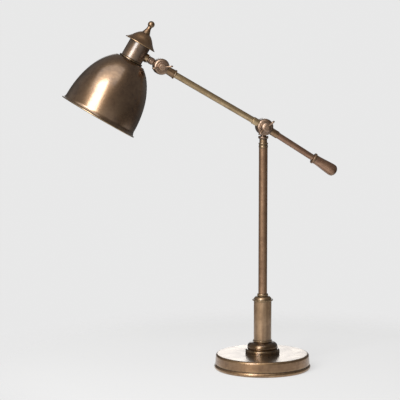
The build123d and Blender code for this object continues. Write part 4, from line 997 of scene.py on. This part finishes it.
def wing_mesh(name, axis, turn, around=48, over=22):
    """One wing: the hull of two circles whose radii shrink by k, pushed off the wing's plane by h.

    Round the hull the angle q runs from one side of the lobe to the other and back round the root. From
    face to face the angle f runs from -90 to 90 degrees: k = cos f to the power 0.4, so the outline stays
    full until near the faces' middle, and h = sin f to the power 0.8, so the edge is round and the face
    is slightly domed.
    """
    origin, forward, _ = axis
    out = np.array([np.cos(turn), 0.0, np.sin(turn)])
    beside = np.cross(forward, out)
    lean = np.arctan2(lobe_along - root_along, lobe_out - root_out)
    apart = np.hypot(lobe_along - root_along, lobe_out - root_out)
    open_angle = np.arccos((lobe_radius - root_radius) / apart)
    lobe_q = np.linspace(-np.pi + open_angle, np.pi - open_angle, around)
    root_q = np.linspace(np.pi - open_angle, np.pi + open_angle, around // 2)
    q = np.concatenate([lobe_q, root_q])[:, None] + lean
    lobe, root = (lobe_out, lobe_along, lobe_radius), (root_out, root_along, root_radius)
    circles = np.repeat([lobe, root], [around, around // 2], axis=0)
    centre_out, centre_along, radius = circles.T[..., None]
    f = np.linspace(-np.pi / 2, np.pi / 2, over)[None, :]
    k = np.clip(np.cos(f), 0, None) ** 0.4
    h = wing_half_thickness * np.sign(f) * np.abs(np.sin(f)) ** 0.8
    reach = centre_out + radius * k * np.cos(q)
    ahead = centre_along + radius * k * np.sin(q)
    h, k = np.broadcast_to(h, reach.shape), np.broadcast_to(k, reach.shape)
    points = origin + reach[..., None] * out + ahead[..., None] * forward + h[..., None] * beside
    index = np.arange(reach.size).reshape(reach.shape)
    side = np.roll(index, -1, 0)
    quads = np.stack([index[:, :-1], side[:, :-1], side[:, 1:], index[:, 1:]], axis=-1).reshape(-1, 4)
    mesh = mesh_of(name, points.reshape(-1, 3), quads, np.zeros((0, 3), int))
    own = np.stack([reach, h, ahead], axis=-1)
    store(mesh, "own_place", own.reshape(-1, 3))
    store(mesh, "worn", (k ** 6).ravel())
    store(mesh, "sheltered", np.zeros(reach.size))
    return mesh


def wing_nut(node, axis, turn, hub):
    """Hub and two opposite wings as one piece."""
    mesh = joined(turned_mesh(node + "_cast", axis, hub, 96),
                  joined(wing_mesh("wing", axis, turn), wing_mesh("other_wing", axis, turn + np.pi)))
    piece = set_up(node + "_cast", mesh, node, knuckle_brass)
    print(piece.name, len(mesh.vertices), "vertices")


arm_wing_turn, head_wing_turn = np.radians(40), np.radians(5)
arm_hub = hub_outline(base_radius=10.6 * mm, face_radius=4.4 * mm, bulge=2.2 * mm, count=22)
head_hub = hub_outline(base_radius=7.6 * mm, face_radius=6.2 * mm, bulge=0.3 * mm, count=9)
wing_nut("arm_wing_nut", arm_knuckle_axis, arm_wing_turn, arm_hub)
wing_nut("head_wing_nut", head_knuckle_axis, head_wing_turn, head_hub)

# %% [markdown]
# ## The arm
# The tubes are drawn brass: the front one golden, the rear one redder, as hands have left them. They run
# from inside the knuckles' discs to the head and into the handle.

# %% Arm tubes
tube_radius, tube_wall, socket_radius = 6.0 * mm, 1.0 * mm, 6.05 * mm
tube_start = chamber_radius + 0.5 * mm
handle_start, collar_length, handle_seat = 117.5 * mm, 4.4 * mm, 16.0 * mm
front_reach, rear_reach, head_reach = 27 * mm, 30 * mm, 31 * mm
for node, axis, end, finish, seams in (
        ("front_arm_tube", arm_axis, arm_length - tube_start, golden_brass,
         (front_reach, arm_length - head_reach)),
        ("rear_arm_tube", rear_axis, handle_start + handle_seat, red_brass,
         (rear_reach, handle_start - collar_length))):
    ring_piece(node, axis, (tube_start, end), (tube_radius - tube_wall, tube_radius), tube_edges, finish, 96,
               seams=seams)

# %% [markdown]
# Ferrules cover the places where the tubes enter the discs, and the end of a ferrule is filed to sit on
# its disc like a saddle. That is a shift of the end along the axis, fading out over a short reach: at a
# distance e from the axis, in the disc's plane, a disc of radius R starts at the root of R^2 - e^2, and
# in front, where its edge is rounded, R shrinks with the depth.

# %% Ferrules
ferrule_radius = socket_radius + 1.1 * mm
saddle_end, saddle_reach = 16.5 * mm, 4.0 * mm


def rim_place(disc_radius, r, t):
    """How far from the disc's middle its rim lies, for points r out from the arm's axis at the angle t."""
    depth = arm_depth + r * np.cos(t)
    past = np.clip(depth - (disc_front - disc_round), 0, disc_round)
    rim_radius = disc_radius - disc_round + np.sqrt(disc_round ** 2 - past ** 2)
    return np.sqrt(np.clip(rim_radius ** 2 - (r * np.sin(t)) ** 2, 0, None))


def seated(end, reach, seat):
    """Shift that brings a ring's end to its seat, a place along the axis for each r and t."""
    def shift(a, r, t):
        """The way from the end to the seat, times a share that falls from 1 at the end to 0."""
        return np.clip(1 - np.abs(a - end) / reach, 0, 1) * (seat(r, t) - end)
    return shift


def on_arm_disc(r, t):
    """Where the arm knuckle's disc starts, along the arm."""
    return rim_place(arm_disc_radius, r, t)


def on_head_disc(r, t):
    """Where the head knuckle's disc starts, along the arm."""
    return arm_length - rim_place(head_disc_radius, r, t)


for node, axis, reach, finish in (("front_ferrule", arm_axis, front_reach, golden_brass),
                                  ("rear_ferrule", rear_axis, rear_reach, turned_brass)):
    ring_piece(node, axis, (saddle_end, reach), (socket_radius, ferrule_radius), (CRISP / 2, 0.5 * mm),
               finish, 96, bore_round=CRISP / 2, seams=(saddle_end,),
               shift=seated(saddle_end, saddle_reach, on_arm_disc))

head_end = arm_length - saddle_end + 1.0 * mm
ring_start = arm_length - head_reach
ring_end = ring_start + 3 * mm
bead_radius, barrel_radius, barrel_end_radius = 9.25 * mm, 8.3 * mm, 7.65 * mm
head_ferrule_outline = rounded_outline([
    [ring_start, socket_radius, CRISP / 2],
    [ring_start, bead_radius, 1.0 * mm],
    [ring_end, bead_radius, 1.0 * mm],
    [ring_end, barrel_radius, 0.4 * mm],
    [head_end, barrel_end_radius, CRISP / 2],
    [head_end, socket_radius, CRISP / 2],
])
turned_piece("head_ferrule", arm_axis, head_ferrule_outline, turned_brass, 96,
             seams=(ring_end, head_end), shift=seated(head_end, saddle_reach, on_head_disc))

# %% [markdown]
# ## The handle
# A collar and a pear-shaped grip end the rear arm. The pear is one bent line: it leaves the collar
# straight, swells, and turns in to the tip square to the axis, so four points and the ways at the two
# ends are enough for a spline.

# %% Handle
collar_foot, collar_radius, collar_round = handle_start - collar_length, 10.8 * mm, 1.4 * mm
handle_collar_ends = (collar_foot, handle_start)
ring_piece("handle_collar", rear_axis, handle_collar_ends, (socket_radius, collar_radius),
           (collar_round, collar_round), red_brass, 96, seams=handle_collar_ends)

grip_start_radius = 8.9 * mm
grip_points = [
    (handle_start, grip_start_radius),
    (handle_start + 36.0 * mm, 11.4 * mm),
    (handle_start + 45.0 * mm, 10.2 * mm),
    (handle_start + 50.0 * mm, 0.0),
]
pear = batten(grip_points, first_way=(1, 0), last_way=(0, -1), count=72)
socket_end = handle_start + handle_seat + 0.05 * mm
handle_outline = rounded_outline(
    [[socket_end, 0, 0],
     [socket_end, socket_radius, CRISP],
     [handle_start, socket_radius, CRISP],
     [handle_start, grip_start_radius, 0.4 * mm]],
    pear[2:],
    closed=False)
turned_piece("handle", rear_axis, handle_outline, red_brass, seams=(handle_start,))

# %% [markdown]
# ## The head
# The neck is a plain tube round the lampholder, with a bead ring below and an ogee cap above: a domed
# roof that turns out into a thin brim, under a waisted finial with a ball.

# %% Neck and its ring
neck_radius, neck_inside = 21.35 * mm, 19.85 * mm
neck_top, neck_foot, shade_top = -17.0 * mm, 15.5 * mm, 20.0 * mm
holder_hole = 17.1 * mm
neck_ring_radius, neck_ring_round = 24.35 * mm, 2.0 * mm
neck_brass = aged_brass("neck_brass", (0.085, 0.050, 0.026), (0.15, 0.090, 0.050), (0.22, 0.138, 0.078),
                        (0.46, 0.54), cloud_size=34 * mm, grain_share=0.12, wear=0.1, lacquer=1.0,
                        lacquer_roughness=0.24, lacquer_ior=1.85)
ring_piece("neck", head_axis, (neck_top, neck_foot), (neck_inside, neck_radius), tube_edges, neck_brass, 160,
           seams=(neck_top, neck_foot))
ring_piece("neck_ring", head_axis, (neck_foot, shade_top), (holder_hole, neck_ring_radius),
           (neck_ring_round, neck_ring_round), boss_brass, 160, seams=(neck_foot, shade_top))

# %% [markdown]
# The cap's outline is two shallow bows that meet at the shoulder, one outwards and one inwards, and its
# inside follows at the thickness of the metal. The finial's foot is a bent line, its ball an arc.

# %% Cap and finial
cap_top, cap_seat_radius, finial_hole = -40.5 * mm, 8.3 * mm, 3.5 * mm
shoulder = (-28.7 * mm, 20.65 * mm)
brim_edge = (neck_top - 1.4 * mm, 31.35 * mm)
roof, roof_bow, brim_bow = 3.0 * mm, 1.0 * mm, -0.6 * mm
cap_outline = rounded_outline(
    [[cap_top, finial_hole, CRISP]],
    bowed((cap_top, cap_seat_radius), shoulder, roof_bow),
    bowed(shoulder, brim_edge, brim_bow)[1:-1],
    [[brim_edge[0], brim_edge[1], 0.5 * mm],
     [neck_top, brim_edge[1], 0.5 * mm],
     [neck_top, neck_inside, CRISP],
     [shoulder[0], shoulder[1] - roof, 1.0 * mm],
     [cap_top + roof, cap_seat_radius, 1.0 * mm],
     [cap_top + roof, finial_hole, CRISP]],
)
cap_brass = aged_brass("cap_brass", (0.16, 0.085, 0.042), (0.29, 0.168, 0.085), (0.42, 0.265, 0.145),
                       (0.36, 0.48), cloud_size=16 * mm, wear=0.35)
turned_piece("cap", head_axis, cap_outline, cap_brass, 160, seams=(cap_top,))

ball_centre, ball_radius, waist = cap_top - 19.2 * mm, 6.6 * mm, 4.3 * mm
ball_neck = ball_centre + np.sqrt(ball_radius ** 2 - waist ** 2)
finial_foot_radius = 8.0 * mm
foot_curve = batten([[cap_top, finial_foot_radius], [cap_top - 5.8 * mm, 5.7 * mm],
                     [cap_top - 10.2 * mm, waist], [ball_neck, waist]], count=32)
ball_turn = np.linspace(np.arcsin(waist / ball_radius), np.pi, 30)
ball = np.stack([ball_centre + ball_radius * np.cos(ball_turn), ball_radius * np.sin(ball_turn)], axis=1)
ball[-1, 1] = 0
stud_radius, stud_end = 2.95 * mm, cap_top + 12 * mm
finial_outline = rounded_outline(
    [[stud_end, 0, 0],
     [stud_end, stud_radius, 0.3 * mm],
     [cap_top, stud_radius, CRISP],
     [cap_top, finial_foot_radius, 0.3 * mm]],
    foot_curve[1:],
    ball[1:],
    closed=False)
turned_piece("finial", head_axis, finial_outline, turned_brass, 96, seams=(cap_top,))

# %% [markdown]
# The collar on the stem is filed to the neck, which is the saddle again, with the neck in place of the
# disc.

# %% Stem collar
collar_end, collar_reach = 34.4 * mm, 3.0 * mm
spigot_play, stem_collar_radius = 0.05 * mm, 8.5 * mm


def on_neck(r, t):
    """Where the round of the neck starts, along the stem."""
    return stem_to_neck - np.sqrt(neck_radius ** 2 - (r * np.cos(t)) ** 2)


# The collar wears the paler brass, which paints in light where the neck's shadow falls on it.
ring_piece("stem_collar", stem_axis, (collar_start, collar_end),
           (spigot_radius + spigot_play, stem_collar_radius), (0.8 * mm, CRISP / 2), pale_brass, 96,
           bore_round=CRISP / 2, seams=(collar_end,), shift=seated(collar_end, collar_reach, on_neck))

# %% [markdown]
# ## The shade
# The bell is half an ellipse, spun from sheet, with a rim that flares out and ends in a thin roll. Its
# section runs down the outside, round the roll and back up the inside, so the wall has its real
# thickness and the mouth is open. Each stretch is a formula: an ellipse, an arc, a circle, an arc and
# an ellipse.

# %% Shade
bell_radius, bell_depth, bell_end, shade_wall = 73.6 * mm, 124 * mm, 134 * mm, 1.2 * mm
flare_radius, flare_turn, roll_radius = 10 * mm, np.radians(54), 1.3 * mm


def bell(wall, top, count=90):
    """Ellipse of the bell at a depth inside the sheet, from the top down to the flare."""
    deep, across = bell_depth - wall, bell_radius - wall
    turn = np.linspace(np.arcsin((bell_end - top) / deep), 0, count)
    return np.stack([bell_end - deep * np.sin(turn), across * np.cos(turn)], axis=1)


def flare(radius, end_turn, count=18):
    """Arc of the flare round its centre outside the bell, at one face of the sheet."""
    turn = np.linspace(0, end_turn, count)[1:]
    centre_radius = bell_radius + flare_radius
    return np.stack([bell_end + radius * np.sin(turn), centre_radius - radius * np.cos(turn)], axis=1)


tuck_in = np.sqrt(roll_radius ** 2 - (shade_wall / 2) ** 2)
roll_middle = flare(flare_radius + shade_wall / 2, flare_turn)[-1]
onward = np.array([np.cos(flare_turn), np.sin(flare_turn)])
outward = np.array([-np.sin(flare_turn), np.cos(flare_turn)])
roll_turn = np.linspace(1, -1, 26)[:, None] * np.arctan2(shade_wall / 2, -tuck_in)
roll = roll_middle + roll_radius * (np.cos(roll_turn) * onward + np.sin(roll_turn) * outward)
inner_flare, inner_top = flare_radius + shade_wall, shade_top + shade_wall
shade_outline = rounded_outline(
    [[shade_top, holder_hole, CRISP]],
    bell(0, shade_top),
    flare(flare_radius, flare_turn - tuck_in / flare_radius)[:-1],
    roll,
    flare(inner_flare, flare_turn - tuck_in / inner_flare)[-2::-1],
    bell(shade_wall, inner_top)[::-1],
    [[inner_top, holder_hole, CRISP]],
)
turned_piece("shade", head_axis, shade_outline, spun_brass, 256, seams=(shade_top,))

# %% [markdown]
# ## Inside the shade
# From below one sees the ring that clamps the shade, the lampholder and the bulb. The bulb is off. Opal
# glass is white in itself, with a gloss on its skin.

# %% Lampholder and bulb
dark_plastic = plain_finish("dark_plastic", (0.03, 0.024, 0.02), (0.055, 0.045, 0.04), 2 * mm,
                            (0.32, 0.42), relief=0.05 * mm)
opal_glass = plain_finish("opal_glass", (0.84, 0.83, 0.79), (0.90, 0.89, 0.86), 14 * mm,
                          (0.20, 0.26), relief=0.02 * mm, coat=0.5)

clamp_end, clamp_radius, clamp_round = inner_top + 5 * mm, 25.05 * mm, 1.2 * mm
ring_piece("shade_ring", head_axis, (inner_top, clamp_end), (holder_hole, clamp_radius),
           (clamp_round, clamp_round), turned_brass, bore_round=0.3 * mm, seams=(inner_top,))

holder_top, holder_seat, holder_mouth = 9.8 * mm, 21.8 * mm, 51.8 * mm
holder_radius, holder_bore, rod_seat = 17.05 * mm, 14.05 * mm, 15.8 * mm
holder_outline = rounded_outline([
    [holder_seat, 0, 0], [holder_seat, holder_bore, 0.3 * mm], [holder_mouth, holder_bore, 0.4 * mm],
    [holder_mouth, holder_radius, 0.8 * mm], [holder_top, holder_radius, 0.8 * mm],
    [holder_top, rod_hole, CRISP], [rod_seat, rod_hole, CRISP], [rod_seat, 0, 0]], closed=False)
turned_piece("lampholder_body", head_axis, holder_outline, dark_plastic, slot="dark_plastic")

glass_radius, glass_wall, glass_end, glass_neck_radius = 30 * mm, 0.8 * mm, 128.2 * mm, 12.7 * mm
glass_start, glass_neck_end = 28.2 * mm, 52.2 * mm
globe_middle = glass_end - glass_radius


def glass_skin(inside):
    """One face of the glass, from its neck to its tip: a straight neck, a swelling curve and a globe."""
    straight, turn = (1, 0), np.linspace(0, np.pi / 2, 40)[1:]
    swell_ends = [[glass_neck_end, glass_neck_radius - inside], [globe_middle, glass_radius - inside]]
    swell = batten(swell_ends, straight, straight, 40)
    globe = np.stack([globe_middle + (glass_radius - inside) * np.sin(turn),
                      (glass_radius - inside) * np.cos(turn)], axis=1)
    globe[-1, 1] = 0
    return np.concatenate([swell, globe])


glass_outline = rounded_outline(
    glass_skin(glass_wall)[::-1],
    [[glass_start, glass_neck_radius - glass_wall, CRISP], [glass_start, glass_neck_radius, CRISP]],
    glass_skin(0),
    closed=False)
turned_piece("bulb_glass", head_axis, glass_outline, opal_glass, slot="opal_glass")

# %% [markdown]
# ## What the CAD already has right
# Screws, plain nuts, friction washers and the sealed inner pieces keep their CAD meshes. Each still gets
# a finish from nodes, chosen by the slot that the record names for it.

# %% Finishes of the remaining nodes
bright_brass = plain_finish("bright_brass", (0.52, 0.36, 0.15), (0.72, 0.54, 0.26), 9 * mm,
                            (0.22, 0.34), metallic=1.0)
plated_steel = plain_finish("plated_steel", (0.42, 0.42, 0.41), (0.60, 0.60, 0.585), 4 * mm,
                            (0.25, 0.40), metallic=1.0)
cap_metal = plain_finish("cap_metal", (0.62, 0.62, 0.63), (0.80, 0.80, 0.81), 5 * mm,
                         (0.25, 0.35), metallic=1.0)
cast_iron = plain_finish("cast_iron", (0.05, 0.05, 0.05), (0.12, 0.12, 0.12), 2.5 * mm,
                         (0.55, 0.8), relief=0.4 * mm)
finish_of_slot = {
    "aged_brass": knuckle_brass, "bright_brass": bright_brass, "plated_steel": plated_steel,
    "cap_metal": cap_metal, "cast_iron": cast_iron, "felt": felt, "black_fibre": black_fibre,
    "dark_plastic": dark_plastic, "opal_glass": opal_glass,
}
kept = [node for node in frame["nodes"] if node not in standing_for]
for node in kept:
    slot = frame["nodes"][node].material_slots[0]
    slot.material = finish_of_slot[slot.material.name.split(".")[0]]
print("kept from the CAD:", ", ".join(kept))
